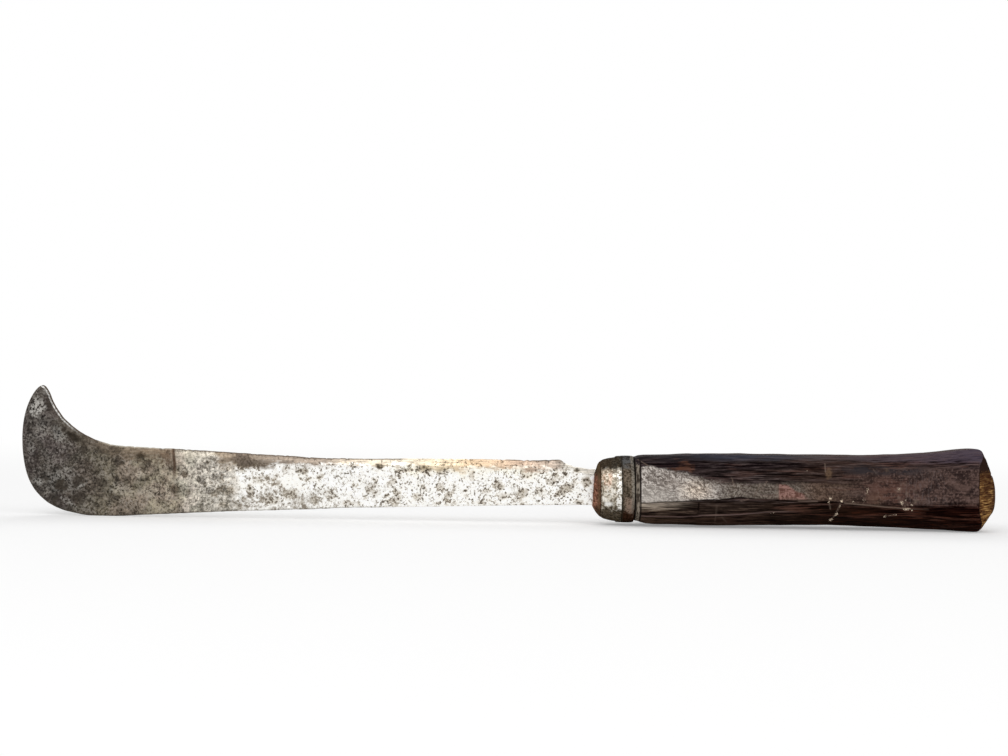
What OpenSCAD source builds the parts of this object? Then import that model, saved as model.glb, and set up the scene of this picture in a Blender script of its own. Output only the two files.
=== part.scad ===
// Long-bladed billhook: a hand-forged hooked blade on a wooden handle with an iron ferrule.
// The tool is drawn along its tang, which runs on the X axis: the blade points to -X, the butt
// of the handle to +X, and the cutting edge and the hook's tip point up. The whole tool is then
// leaned by a degree, so that it stands on the hook's belly and on the underside of the butt.
// Lengths are in millimetres. The origin is on the ground, under the middle of the tool.

/* [Blade] */
// Length of the blade, from its shoulder to the back of the hook
blade_l = 293.4; // [250:0.2:360]
// Thickness of the blade at the shoulder
blade_t = 4.2; // [3.8:0.1:5.4]
// Thickness of the blade at the back of the hook
hook_t = 2.8; // [2:0.1:4]
// Height of the cutting edge above the tang's axis, at its heel
edge_rise = 15.2; // [13:0.2:18]
// Depth of the spine below the tang's axis, at the shoulder
spine_drop = 8.2; // [7.4:0.1:9.5]
// Depth of the belly of the hook below the tang's axis
belly_drop = 13.8; // [11:0.1:17]
// Width of the ground bevel along the cutting edge
bevel_w = 4; // [2:0.1:7]
// Thickness left at the worn cutting edge
edge_t = 0.5; // [0.3:0.05:1]

/* [Ricasso] */
// Length of the unsharpened stretch, from the shoulder to the heel of the edge
ricasso_l = 16.4; // [12:0.2:30]
// Height of the ricasso's top above the tang's axis
ricasso_rise = 10.4; // [9:0.1:12.5]
// Length of the worn step that drops from the heel of the edge to the ricasso
step_l = 8; // [4:0.2:11]

/* [Hook] */
// Height of the hook's tip above the tang's axis
tip_rise = 53.3; // [40:0.1:70]
// Distance from the back of the hook to its tip, along the blade
tip_set = 10.4; // [6:0.1:16]
// Width across the blunt end of the tip
tip_w = 2.4; // [1.5:0.1:4]
// Height of the hook's most rearward point above the tang's axis
back_rise = 26; // [18:0.2:34]
// Distance from the back of the hook to the lowest point of its belly
belly_set = 47; // [38:0.5:60]
// Distance from the back of the hook to its throat, where the edge starts to curl up
throat_set = 53.2; // [46:0.2:70]
// Height of the cutting edge at the throat above its height at the heel
throat_rise = 7; // [3:0.1:12]
// Length of the gentle climb of the edge that ends at the throat
climb_l = 104; // [60:1:150]

/* [Tang] */
// Thickness of the tang's flat part
tang_t = 3.6; // [3:0.1:3.7]
// Height of the tang where it leaves the shoulder
tang_root_h = 13; // [10:0.2:15]
// Height of the tang where it enters the wood
tang_mid_h = 9.6; // [8:0.1:10]
// Height of the tang at the foot of its round tail
tang_end_h = 6; // [5:0.1:7]
// Diameter of the tang's round tail, which is peened over the rove
tail_d = 5; // [4:0.1:6]
// Length of the round tail inside the wood
tail_l = 14; // [8:0.5:25]
// Diameter of the peened head
peen_d = 8; // [7:0.1:9]
// Thickness of the peened head
peen_t = 1.5; // [1:0.1:2]

/* [Bolster] */
// Length of the forged collar that the blade's shoulder seats on
bolster_l = 4.7; // [4:0.1:9]
// Diameter of the collar's front face
bolster_front_d = 21.6; // [19:0.2:25]

/* [Ferrule] */
// Length of the tapered iron cap
cap_l = 10.4; // [7:0.1:14]
// Diameter of the cap at its front
cap_front_d = 30.8; // [30:0.2:33]
// Diameter of the rim at the back of the cap
cap_rim_d = 34; // [33:0.1:34.2]
// Width of that rim
cap_rim_w = 2.3; // [1:0.1:3]
// Thickness of the cap's front wall
cap_wall = 2; // [1.5:0.1:3]
// Length of the plain iron ring behind the cap
ring_l = 6.9; // [5:0.1:16]
// Outer diameter of the ring
ring_d = 34.3; // [33.6:0.1:35.6]
// Chamfer on the edges of the ring
ring_chamfer = 0.5; // [0.2:0.1:1]

/* [Handle] */
// Length of the handle, from its front shoulder to the rim of its butt
handle_l = 177.2; // [150:0.2:220]
// Height of the handle
handle_h = 36.8; // [35.4:0.2:42]
// Thickness of the handle from side to side
handle_w = 35.4; // [35:0.2:40]
// Height of the flat on each side of the handle
side_flat = 19; // [12:0.5:21]
// Width of the flat along the top and along the bottom of the handle
top_flat = 16; // [10:0.5:18]
// How far the shaved corner between two flats stands out from a plain chamfer
corner_crown = 2; // [1:0.1:2.6]
// Chamfer round the front shoulder
shoulder_chamfer = 1.1; // [0.4:0.1:1.4]
// Diameter of the tenon that carries the ferrule
tenon_d = 28; // [25:0.1:28.4]
// Diameter of the bore for the tang
bore_d = 11.6; // [11:0.1:13]

/* [Butt] */
// Length over which the handle flares towards its butt
flare_l = 46; // [30:1:70]
// How far the flare stands out above and below the handle
flare_h = 3.2; // [1:0.1:5]
// How far the flare stands out at each side of the handle
flare_w = 1; // [0:0.1:3]
// Rounding of the butt's rim
rim_r = 1.6; // [0.8:0.1:3]
// Height of the domed end above its rim
dome_l = 7.4; // [5.5:0.1:11]
// How far the crown of the dome lies below the tang's axis
crown_drop = 3; // [0:0.1:4]
// Diameter of the rove, the washer under the peened head
rove_d = 11.4; // [10:0.1:12]
// Thickness of the rove
rove_t = 1.4; // [1:0.1:2]

/* [Hidden] */
$fn = 64;

// Gap on each side between a piece and the hole or slot that it sits in
fit = 0.1;
// Overlap that makes a cut or a join clean
lap = 1;
// Steps along the curves of the hook and the spine, along the flare, the dome and the collar
edge_steps = 16;
heel_steps = 14;
back_steps = 8;
spine_steps = 6;
flare_steps = 4;
dome_steps = 4;
collar_steps = 5;
// How far the grindstone's cut reaches past the edge and past the foot of the bevel
grind_reach = 1;
// How full the hook's curves are: each handle of a curve as a share of the curve's own run
heel_run_share = 0.6;
heel_climb_share = 0.84;
back_climb_share = 0.74;
throat_run_share = 0.77;
throat_slope = 0.06;
// Run and climb of the edge curve's last handle, under the tip
beak = [2.2, 5.6];
// Direction across the blunt end of the tip, and how far the tip's top is rounded over
tip_across = [-0.76, -0.65];
tip_crown = 0.3;
// How far the edge bows up from its heel to the knee where its climb starts
edge_bow = 0.7;
// Climb of the ricasso's top, and the place and lift of the middle of the step
ricasso_climb = 0.8;
step_middle = 0.45;
step_lift = 0.6;
// Powers of the flare's curve and of the dome's curve
flare_power = 1.5;
dome_power = 1.6;
// Share of the section that is left at the flat crown of the dome
crown_share = 0.44;
// Share of the peened head's radius at its half height and at its top
peen_shares = [0.9, 0.4];

// Places along X: the handle's front shoulder is at 0
ring_x = -ring_l;
cap_x = ring_x - cap_l;
root_x = cap_x - bolster_l;
tenon_x = cap_x + cap_wall;
butt_x = handle_l;
rim_x = butt_x - rim_r;
end_x = butt_x + dome_l;
pocket_x = end_x - rove_t - peen_t - fit;
head_x = pocket_x + rove_t;
tail_x = pocket_x - tail_l;

// Points of the blade's outline, as [distance from the shoulder, height]
throat_u = blade_l - throat_set;
knee_u = throat_u - climb_l;
belly_u = blade_l - belly_set;
step_u = ricasso_l - step_l;
heel = [ricasso_l, edge_rise];
knee = [knee_u, edge_rise + edge_bow];
throat = [throat_u, edge_rise + throat_rise];
belly = [belly_u, -belly_drop];
back = [blade_l, back_rise];
tip = [blade_l - tip_set, tip_rise];
tip_inner = tip + tip_w * tip_across;

function bezier(a, b, c, d, t) =
    pow(1 - t, 3) * a + 3 * pow(1 - t, 2) * t * b + 3 * (1 - t) * t * t * c + pow(t, 3) * d;

// Edge of the hook, from the throat to the inner corner of the tip
function hook_edge(t) =
    let (run = throat_run_share * (tip_inner[0] - throat[0]))
        bezier(throat, throat + run * [1, throat_slope], tip_inner - beak, tip_inner, t);

// Spine of the hook, from the belly round its heel to the back, and from there to the tip
function hook_heel(t) =
    let (
        run = [heel_run_share * belly_set, 0],
        climb = [0, heel_climb_share * (back_rise + belly_drop)]
    )
        bezier(belly, belly + run, back - climb, back, t);
function hook_back(t) =
    let (climb = [0, back_climb_share * (tip_rise - back_rise)])
        bezier(back, back + climb, tip + [tip_crown, tip_crown], tip, t);

// Spine of the long part, which falls gently from the shoulder to the belly
function spine_at(u) = [u, -spine_drop - (belly_drop - spine_drop) * pow(u / belly_u, 2)];

// Top of the ricasso, up to the worn step below the heel of the edge
ricasso_top = [
    [0, ricasso_rise],
    [step_u, ricasso_rise + ricasso_climb],
    [ricasso_l - step_l * step_middle, (ricasso_rise + edge_rise) / 2 + step_lift]
];
spine_line = [for (i = [0 : spine_steps - 1]) spine_at(belly_u * (1 - i / (spine_steps - 1)))];

// The sharpened edge, from its heel to the inner corner of the tip
edge_line = concat([heel, knee], [for (i = [0 : edge_steps]) hook_edge(i / edge_steps)]);
blade_outline = concat(
    ricasso_top,
    edge_line,
    [for (i = [back_steps : -1 : 1]) hook_back(i / back_steps)],
    [for (i = [heel_steps : -1 : 1]) hook_heel(i / heel_steps)],
    spine_line
);

// The edge as the grindstone follows it: it starts short of the heel and runs off the tip
grind_line = concat([heel - [step_l / 2, 0]], edge_line, [tip + (tip - tip_inner)]);
grind_slope = (blade_t - edge_t) / 2 / bevel_w;

// Three corners of the grindstone's cut at a point of that line: outside low, inside high, outside
function grind_ring(i, side) =
    let (
        before = grind_line[max(i - 1, 0)],
        after = grind_line[min(i + 1, len(grind_line) - 1)],
        along = (after - before) / norm(after - before),
        inward = [along[1], -along[0]],
        here = grind_line[i] - inward * (i == 0 ? bevel_w : 0),
        out = here - inward * grind_reach,
        deep = here + inward * (bevel_w + grind_reach),
        low = edge_t / 2 - grind_slope * grind_reach,
        high = blade_t / 2 + grind_slope * grind_reach
    )
        [
            [root_x - out[0], side * low, out[1]],
            [root_x - deep[0], side * high, deep[1]],
            [root_x - out[0], side * high, out[1]]
        ];

// A quarter of the handle's section, as three corners: side flat, shaved corner, top flat
function handle_quarter(w, h) =
    let (
        side = [w / 2, side_flat / 2 * h / handle_h],
        top = [top_flat / 2 * w / handle_w, h / 2],
        out = [top[1] - side[1], side[0] - top[0]] / norm(side - top)
    )
        [side, (side + top) / 2 + out * corner_crown * w / handle_w, top];

// Twelve corners of the handle's section at a place along X, with its middle lifted by some height
function handle_ring(x, w, h, lift) =
    let (q = handle_quarter(w, h))
        [
            for (i = [0 : 2]) [x, q[i][0], lift + q[i][1]],
            for (i = [2 : -1 : 0]) [x, -q[i][0], lift + q[i][1]],
            for (i = [0 : 2]) [x, -q[i][0], lift - q[i][1]],
            for (i = [2 : -1 : 0]) [x, q[i][0], lift - q[i][1]]
        ];

butt_w = handle_w + 2 * flare_w;
butt_h = handle_h + 2 * flare_h;
flare_rings = [
    for (i = [0 : flare_steps])
        let (t = i / flare_steps, grow = 2 * pow(t, flare_power))
            handle_ring(
                rim_x - (1 - t) * flare_l,
                handle_w + flare_w * grow,
                handle_h + flare_h * grow,
                0
            )
];
dome_rings = [
    for (i = [0 : dome_steps])
        let (
            t = i / dome_steps,
            share = 1 - t * (1 - crown_share),
            climb = (1 - pow(share, dome_power)) / (1 - pow(crown_share, dome_power))
        )
            handle_ring(
                butt_x + dome_l * climb,
                (butt_w - rim_r) * share,
                (butt_h - rim_r) * share,
                -crown_drop * t
            )
];
handle_rings = concat(
    [
        handle_ring(0, handle_w - 2 * shoulder_chamfer, handle_h - 2 * shoulder_chamfer, 0),
        handle_ring(2 * shoulder_chamfer, handle_w, handle_h, 0)
    ],
    flare_rings,
    dome_rings
);

// How the tool stands: the lean that brings the belly and the butt down to one ground line
stance = atan2(butt_h / 2 - belly_drop, rim_x - root_x + belly_u);
function stand(p) =
    [p.x * cos(stance) - p.z * sin(stance), p.x * sin(stance) + p.z * cos(stance)];
outer_points = [
    for (p = blade_outline) stand([root_x - p[0], 0, p[1]]),
    for (ring = handle_rings) for (p = ring) stand(p)
];
low_x = min([for (p = outer_points) p[0]]);
high_x = max([for (p = outer_points) p[0]]);
low_z = min([for (p = outer_points) p[1]]);

// Puts a piece, drawn along the tang's axis, on its ground
module standing() {
    translate([-(low_x + high_x) / 2, 0, -low_z])
        rotate([0, -stance, 0])
            children();
}

// Skin over a row of rings that all have as many corners, closed at both ends
module skin(rings) {
    n = len(rings[0]);
    last = (len(rings) - 1) * n;
    polyhedron(
        points = [for (ring = rings) each ring],
        faces = [
            [for (k = [0 : n - 1]) k],
            for (i = [0 : len(rings) - 2])
                for (k = [0 : n - 1])
                    let (a = i * n + k, b = i * n + (k + 1) % n)
                        each [[a, a + n, b + n], [a, b + n, b]],
            [for (k = [n - 1 : -1 : 0]) last + k]
        ]
    );
}

// Solid of revolution round the X axis, from a profile of [place along X, radius]
module turned(profile) {
    rotate([90, 0, 90])
        rotate_extrude()
            polygon([for (p = profile) [p[1], p[0]]]);
}

// Round bar along the X axis
module bar(x0, x1, d) {
    translate([x0, 0, 0])
        rotate([0, 90, 0])
            cylinder(h = x1 - x0, d = d);
}

// The tang's flat part, grown by a gap on every side
module tang_body(x0, gap) {
    top = [
        [x0, tang_root_h / 2 + gap],
        [root_x, tang_root_h / 2 + gap],
        [tenon_x, tang_mid_h / 2 + gap],
        [tail_x + gap, tang_end_h / 2 + gap]
    ];
    rotate([90, 0, 0])
        linear_extrude(height = tang_t + 2 * gap, center = true)
            polygon(concat(top, [for (i = [3 : -1 : 0]) [top[i][0], -top[i][1]]]));
}

// Slot that lets the tang through the bolster and the cap's front wall
module tang_slot() {
    tang_body(root_x - lap, fit);
}

// Cut of the grindstone along one side of the edge
module grind(side) {
    rings = [for (i = [0 : len(grind_line) - 1]) grind_ring(i, side)];
    skin(side < 0 ? rings : [for (ring = rings) [ring[0], ring[2], ring[1]]]);
}

// Wedge that thins one side of the blade from the heel of the edge to the back of the hook
module taper(side) {
    heel_x = root_x - ricasso_l;
    hook_x = root_x - blade_l - lap;
    hook_y = hook_t / 2 * side;
    translate([0, 0, -blade_l / 2])
        linear_extrude(height = blade_l)
            polygon([
                [heel_x, blade_t / 2 * side],
                [hook_x, hook_y],
                [hook_x, blade_t * side],
                [heel_x, blade_t * side]
            ]);
}

// Blade, tang and peened tail, forged in one
module blade() {
    color("dimgray")
        standing()
            union() {
                difference() {
                    rotate([90, 0, 0])
                        linear_extrude(height = blade_t, center = true)
                            polygon([for (p = blade_outline) [root_x - p[0], p[1]]]);
                    for (side = [-1, 1]) {
                        taper(side);
                        grind(side);
                    }
                }
                tang_body(root_x - step_u / 2, 0);
                bar(tail_x - lap, head_x + peen_t / 2, tail_d);
                turned([
                    [head_x, 0],
                    [head_x, peen_d / 2],
                    [head_x + peen_t / 2, peen_d / 2 * peen_shares[0]],
                    [head_x + peen_t, peen_d / 2 * peen_shares[1]],
                    [head_x + peen_t, 0]
                ]);
            }
}

// Forged collar between the blade's shoulder and the cap
module bolster() {
    color("sienna")
        standing()
            difference() {
                turned([
                    [root_x, 0],
                    for (i = [0 : collar_steps])
                        let (t = i / collar_steps)
                            [
                                root_x + bolster_l * t,
                                (bolster_front_d + (cap_front_d - bolster_front_d) * sin(90 * t)) / 2
                            ],
                    [cap_x, 0]
                ]);
                tang_slot();
            }
}

// Tapered iron cap over the nose of the tenon
module ferrule_cap() {
    lip_x = ring_x - cap_rim_w;
    shoulder_d = (cap_front_d + cap_rim_d * 3) / 4;
    color("darkgray")
        standing()
            difference() {
                turned([
                    [cap_x, 0],
                    [cap_x, cap_front_d / 2],
                    [lip_x - cap_rim_w / 2, shoulder_d / 2],
                    [lip_x, cap_rim_d / 2],
                    [ring_x, cap_rim_d / 2],
                    [ring_x, 0]
                ]);
                bar(tenon_x - fit, ring_x + lap, tenon_d + 2 * fit);
                tang_slot();
            }
}

// Plain iron ring over the root of the tenon, against the handle's shoulder
module ferrule_ring() {
    color("saddlebrown")
        standing()
            difference() {
                turned([
                    [ring_x, 0],
                    [ring_x, ring_d / 2 - ring_chamfer],
                    [ring_x + ring_chamfer, ring_d / 2],
                    [-ring_chamfer, ring_d / 2],
                    [0, ring_d / 2 - ring_chamfer],
                    [0, 0]
                ]);
                bar(ring_x - lap, lap, tenon_d + 2 * fit);
            }
}

// Shaved hardwood handle with its tenon, its bore and the pocket for the rove
module handle() {
    color("#3a241c")
        standing()
            difference() {
                union() {
                    skin(handle_rings);
                    bar(tenon_x, lap, tenon_d);
                }
                bar(tenon_x - lap, pocket_x + lap, bore_d);
                bar(pocket_x, end_x + lap, rove_d + 2 * fit);
            }
}

// Cutler's pitch that beds the flat tang in its round bore
module tang_bedding() {
    color("black")
        standing()
            difference() {
                bar(tenon_x, pocket_x, bore_d - fit);
                tang_body(tenon_x - lap, fit / 2);
                bar(tail_x - lap, pocket_x + lap, tail_d + fit);
            }
}

// Iron rove sunk in the butt, under the peened tail
module butt_rove() {
    color("gray")
        standing()
            difference() {
                bar(pocket_x, head_x, rove_d);
                bar(pocket_x - lap, head_x + lap, tail_d + fit);
            }
}

blade();
bolster();
ferrule_cap();
ferrule_ring();
handle();
tang_bedding();
butt_rove();
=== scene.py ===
"""Looks of a long-bladed billhook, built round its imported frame.

Pieces are drawn in millimetres along the tang: X runs from the handle's front shoulder at 0
towards the butt, the blade points to -X, and the cutting edge and the hook's tip to +Z. The
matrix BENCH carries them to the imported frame, where the tool leans by a degree.
"""

import math

import bpy
import numpy as np
from mathutils import Matrix, Vector


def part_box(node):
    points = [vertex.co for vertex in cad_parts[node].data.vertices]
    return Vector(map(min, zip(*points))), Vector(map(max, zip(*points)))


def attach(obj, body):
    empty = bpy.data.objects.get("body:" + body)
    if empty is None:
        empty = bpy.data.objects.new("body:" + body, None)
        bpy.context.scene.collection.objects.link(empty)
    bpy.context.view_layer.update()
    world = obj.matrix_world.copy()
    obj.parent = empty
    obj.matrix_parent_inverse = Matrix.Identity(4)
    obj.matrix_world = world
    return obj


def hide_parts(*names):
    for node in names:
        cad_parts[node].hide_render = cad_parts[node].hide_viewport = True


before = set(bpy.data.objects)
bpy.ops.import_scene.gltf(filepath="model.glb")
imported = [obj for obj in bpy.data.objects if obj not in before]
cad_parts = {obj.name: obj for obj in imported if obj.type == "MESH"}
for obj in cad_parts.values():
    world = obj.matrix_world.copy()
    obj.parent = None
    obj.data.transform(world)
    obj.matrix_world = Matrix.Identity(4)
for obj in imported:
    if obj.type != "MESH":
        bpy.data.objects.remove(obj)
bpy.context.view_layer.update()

MM = 0.001

# Colours are written in thousandths. A colour mix node takes two of them, and gives one
COLOUR_UNIT = 0.001
MIX_A = 6
MIX_B = 7
MIX_RESULT = 2

# Places along the bench and sizes of the pieces, in millimetres
ROOT_X = -22.0
CAP_X = -17.3
RING_X = -6.9
TENON_X = -15.3
RIM_X = 175.6
LIP_X = -9.3
END_X = 184.6
ROVE_X = 181.6
HEAD_X = 183.0
TAIL_X = 167.6
TENON_R = 14.0
BORE_R = 5.8
ROVE_R = 5.7
HEAD_R = 4.0
HEAD_T = 1.5
TAIL_R = 2.5
FIT = 0.1


def middle(node):
    low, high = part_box(node)
    return (low + high) / 2


def bench_matrix():
    """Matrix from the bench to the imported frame, from two round nodes that lie on the tang's axis."""
    ring = middle("ferrule_ring")
    along = (middle("butt_rove") - ring).normalized()
    across = Vector((0, 1, 0))
    up = along.cross(across)
    place = ring - along * RING_X * MM / 2
    turn = Matrix((along, across, up)).transposed()
    return Matrix.Translation(place) @ turn.to_4x4()


BENCH = bench_matrix()

# Seeded noise over arrays of points
HASH_STEPS = np.array([374761393, 668265263, 2147483647], dtype=np.int64)
HASH_SEED = 1442695041
HASH_MIX = 1274126177
HASH_MASK = 0xFFFFF
PIT_DRIFT = 0.8
BLOT_BORDER = (0.5, 1.3)

# Shifts that give patterns of the same kind other places in the noise
SPINE_SHIFT = 70
STRIP_SHIFT = 300
FACE_SHIFT = 1000
ROVE_SHIFT = 40
BLOW_SHIFT = 20


def hashed(cells, seed):
    """A number from 0 to 1 for each whole-numbered cell."""
    mixed = (cells.astype(np.int64) * HASH_STEPS[: cells.shape[-1]]).sum(axis=-1) + seed * HASH_SEED
    mixed = (mixed ^ (mixed >> 13)) * HASH_MIX
    mixed = mixed ^ (mixed >> 16)
    return (mixed & HASH_MASK) / HASH_MASK


def noise(points, cell, seed):
    """Smooth noise from -1 to 1, with bumps about one cell wide."""
    grid = points / np.asarray(cell, dtype=float)
    base = np.floor(grid)
    part = grid - base
    part = part * part * (3 - 2 * part)
    total = np.zeros(points.shape[:-1])
    for corner in np.ndindex(*([2] * points.shape[-1])):
        near = np.array(corner)
        weight = np.prod(np.where(near, part, 1 - part), axis=-1)
        total += weight * hashed(base + near, seed)
    return total * 2 - 1


def noises(points, *layers):
    """Sum of noises, each given as (cell, seed, strength)."""
    return sum(noise(points, cell, seed) * strength for cell, seed, strength in layers)


def rough_noise(points, cell, seed, layers=3):
    """Noise with finer and weaker layers on top."""
    cell = np.asarray(cell, dtype=float)
    return noises(points, *((cell / 2**k, seed + k, 1 / 2**k) for k in range(layers)))


def pits(flat, cell, share, small, large, seed):
    """Depth from 0 to 1 of round pits, one to a cell at most, over points in a plane."""
    base = np.floor(flat / cell)
    deepest = np.zeros(flat.shape[:-1])
    for step in np.ndindex(3, 3):
        home = base + np.array(step) - 1
        drift = np.stack([hashed(home, seed), hashed(home, seed + 1)], axis=-1) - 0.5
        radius = small + (large - small) * hashed(home, seed + 2) ** 2
        there = hashed(home, seed + 3) < share
        gap = np.linalg.norm(flat - (home + 0.5 + drift * PIT_DRIFT) * cell, axis=-1)
        deepest = np.maximum(deepest, there * np.clip(1 - (gap / radius) ** 2, 0, 1))
    return deepest


def ease(value, low, high):
    """Smooth step from 0 at low to 1 at high."""
    t = np.clip((value - low) / (high - low), 0, 1)
    return t * t * (3 - 2 * t)


def tent(gap, width):
    """1 where there is no gap, falling evenly to 0 at a width."""
    return np.clip(1 - np.abs(gap) / width, 0, 1)


def blotted(x, z, marks, ragged):
    """Strength from 0 to 1 of oval marks at each point. Each mark is (x, z, half length, half height,
    strength), with a tilt in degrees where it isn't level, and ragged noise breaks up its border."""
    total = np.zeros_like(x)
    for mark in marks:
        centre_x, centre_z, length, tall, strength, tilt = (*mark, 0)[:6]
        cos, sin = math.cos(math.radians(tilt)), math.sin(math.radians(tilt))
        along = ((x - centre_x) * cos + (z - centre_z) * sin) / length
        across = ((z - centre_z) * cos - (x - centre_x) * sin) / tall
        total = np.maximum(total, strength * (1 - ease(np.hypot(along, across) + ragged, *BLOT_BORDER)))
    return total


def stroke(x, z, mark, width):
    """Strength from 0 to 1 of a straight thin line, given as (x, z, x, z) of its ends."""
    a, b = np.array(mark[:2]), np.array(mark[2:])
    run = b - a
    t = np.clip(((x - a[0]) * run[0] + (z - a[1]) * run[1]) / (run @ run), 0, 1)
    return tent(np.hypot(x - a[0] - t * run[0], z - a[1] - t * run[1]), width)


def bezier(a, pull_a, pull_b, b, steps):
    """Points after the first of a curve from a to b. The pulls lead from its ends to its handles."""
    t = np.linspace(0, 1, steps + 1)[1:, None]
    a, b = np.array(a), np.array(b)
    return (1 - t) ** 3 * a + 3 * (1 - t) * t * ((1 - t) * (a + pull_a) + t * (b + pull_b)) + t**3 * b


def evenly(line, count):
    """Points at equal steps along a line of points."""
    gaps = np.linalg.norm(np.diff(line, axis=0), axis=1)
    reach = np.concatenate([[0], np.cumsum(gaps)])
    places = np.linspace(0, reach[-1], count)
    return np.stack([np.interp(places, reach, line[:, k]) for k in range(line.shape[1])], axis=1)


def track(points, x):
    """Height of a line of (x, height) points at places along X."""
    return np.interp(x, *np.array(points, dtype=float).T)


def pushed(rings, push):
    """A skin of rings, with its points moved away from its inside."""
    around = np.roll(rings, -1, axis=1) - np.roll(rings, 1, axis=1)
    normals = np.cross(around, np.gradient(rings, axis=0))
    normals /= np.maximum(np.linalg.norm(normals, axis=2, keepdims=True), 1e-9)
    return rings + normals * push[..., None]


def skin(name, rings, closed=True, sharp=35, **marks):
    """Mesh through rings of points. A closed skin joins its last ring to its first."""
    rows, count = rings.shape[:2]
    index = np.arange(rows * count).reshape(rows, count)
    index = np.vstack([index, index[:1]]) if closed else index
    after = np.roll(index, -1, axis=1)
    quads = np.stack([index[:-1], index[1:], after[1:], after[:-1]], axis=-1).reshape(-1, 4)
    ends = [] if closed else [index[0].tolist(), index[-1][::-1].tolist()]
    mesh = bpy.data.meshes.new(name)
    mesh.from_pydata((rings.reshape(-1, 3) * MM).tolist(), [], quads.tolist() + ends)
    for mark, values in marks.items():
        layer = mesh.attributes.new(mark, "FLOAT", "POINT")
        layer.data.foreach_set("value", np.ravel(values).astype(np.float32))
    mesh.shade_smooth()
    mesh.set_sharp_from_angle(angle=math.radians(sharp))
    return mesh


def added(name, data):
    """New object in the scene."""
    made = bpy.data.objects.new(name, data)
    bpy.context.scene.collection.objects.link(made)
    return made


def piece(mesh, material, node):
    """Puts a mesh drawn on the bench in the scene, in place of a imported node."""
    mesh.transform(BENCH)
    made = added(mesh.name, mesh)
    mesh.materials.append(material)
    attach(made, "root")
    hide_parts(node)


class Value:
    """A number or a colour that a node gives. Sums with it add more nodes."""

    def __init__(self, nodes, socket):
        self.nodes = nodes
        self.socket = socket

    def combine(self, operation, other):
        return self.nodes.add("Math", {0: self, 1: other}, operation=operation)

    def __add__(self, other):
        return self.combine("ADD", other)

    def __sub__(self, other):
        return self.combine("SUBTRACT", other)

    def __mul__(self, other):
        return self.combine("MULTIPLY", other)

    def __abs__(self):
        return self.combine("ABSOLUTE", 0.0)

    def most(self, other):
        return self.combine("MAXIMUM", other)

    def line(self, low, high, start=0.0, end=1.0, kind="LINEAR"):
        """Number that goes from start to end as this one goes from low to high."""
        inputs = {"Value": self, "From Min": low, "From Max": high, "To Min": start, "To Max": end}
        return self.nodes.add("MapRange", inputs, interpolation_type=kind)

    def step(self, low, high, start=0.0, end=1.0):
        """The same, with a smooth step."""
        return self.line(low, high, start, end, "SMOOTHSTEP")

    def span(self, start, end):
        """Smooth step from start where this is 0 to end where it is 1."""
        return self.step(0, 1, start, end)

    def window(self, low, high, soft):
        """1 between low and high and 0 outside, with soft borders."""
        return self.step(low - soft, low + soft) * self.step(high + soft, high - soft)

    def between(self, a, b):
        """Colour a where this is 0, and b where it is 1."""
        return self.nodes.mix(self, a, b)

    def blend(self, low, high, a, b):
        """Colour a up to low, and b from high on."""
        return self.step(low, high).between(a, b)

    def paint(self, colour, share):
        """This colour with a share of another over it."""
        return self.nodes.mix(share, self, colour)

    def tint(self, colour, share=1.0):
        """This colour multiplied by a share of another."""
        return self.nodes.mix(share, self, colour, "MULTIPLY")

    def ramp(self, stops, unit=COLOUR_UNIT):
        """Colour along this number, from rows of (place, red, green, blue)."""
        made = self.nodes.add("ValToRGB", {"Fac": self})
        row = made.socket.node.color_ramp.elements
        row[0].position, row[1].position = stops[0][0], stops[-1][0]
        for place, *_ in stops[1:-1]:
            row.new(place)
        for element, (_, *colour) in zip(row, stops):
            element.color = (*(part * unit for part in colour), 1)
        return made

    def level(self, stops):
        """Number along this one, from rows of (place, number)."""
        return self.ramp([(place, number, number, number) for place, number in stops], 1)


class Nodes:
    """A node tree, and short ways to add to it."""

    def __init__(self, tree):
        self.tree = tree

    def add(self, kind, inputs, output=0, **settings):
        made = self.tree.nodes.new("ShaderNode" + kind)
        for key, value in settings.items():
            setattr(made, key, value)
        for key, value in inputs.items():
            self.feed(made.inputs[key], value)
        return Value(self, made.outputs[output])

    def feed(self, socket, value):
        if isinstance(value, Value):
            self.tree.links.new(value.socket, socket)
        elif socket.type == "RGBA":
            socket.default_value = (*(part * COLOUR_UNIT for part in value), 1)
        else:
            socket.default_value = value

    def mix(self, share, a, b, kind="MIX"):
        inputs = {"Factor": share, MIX_A: a, MIX_B: b}
        return self.add("Mix", inputs, MIX_RESULT, data_type="RGBA", blend_type=kind)


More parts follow.
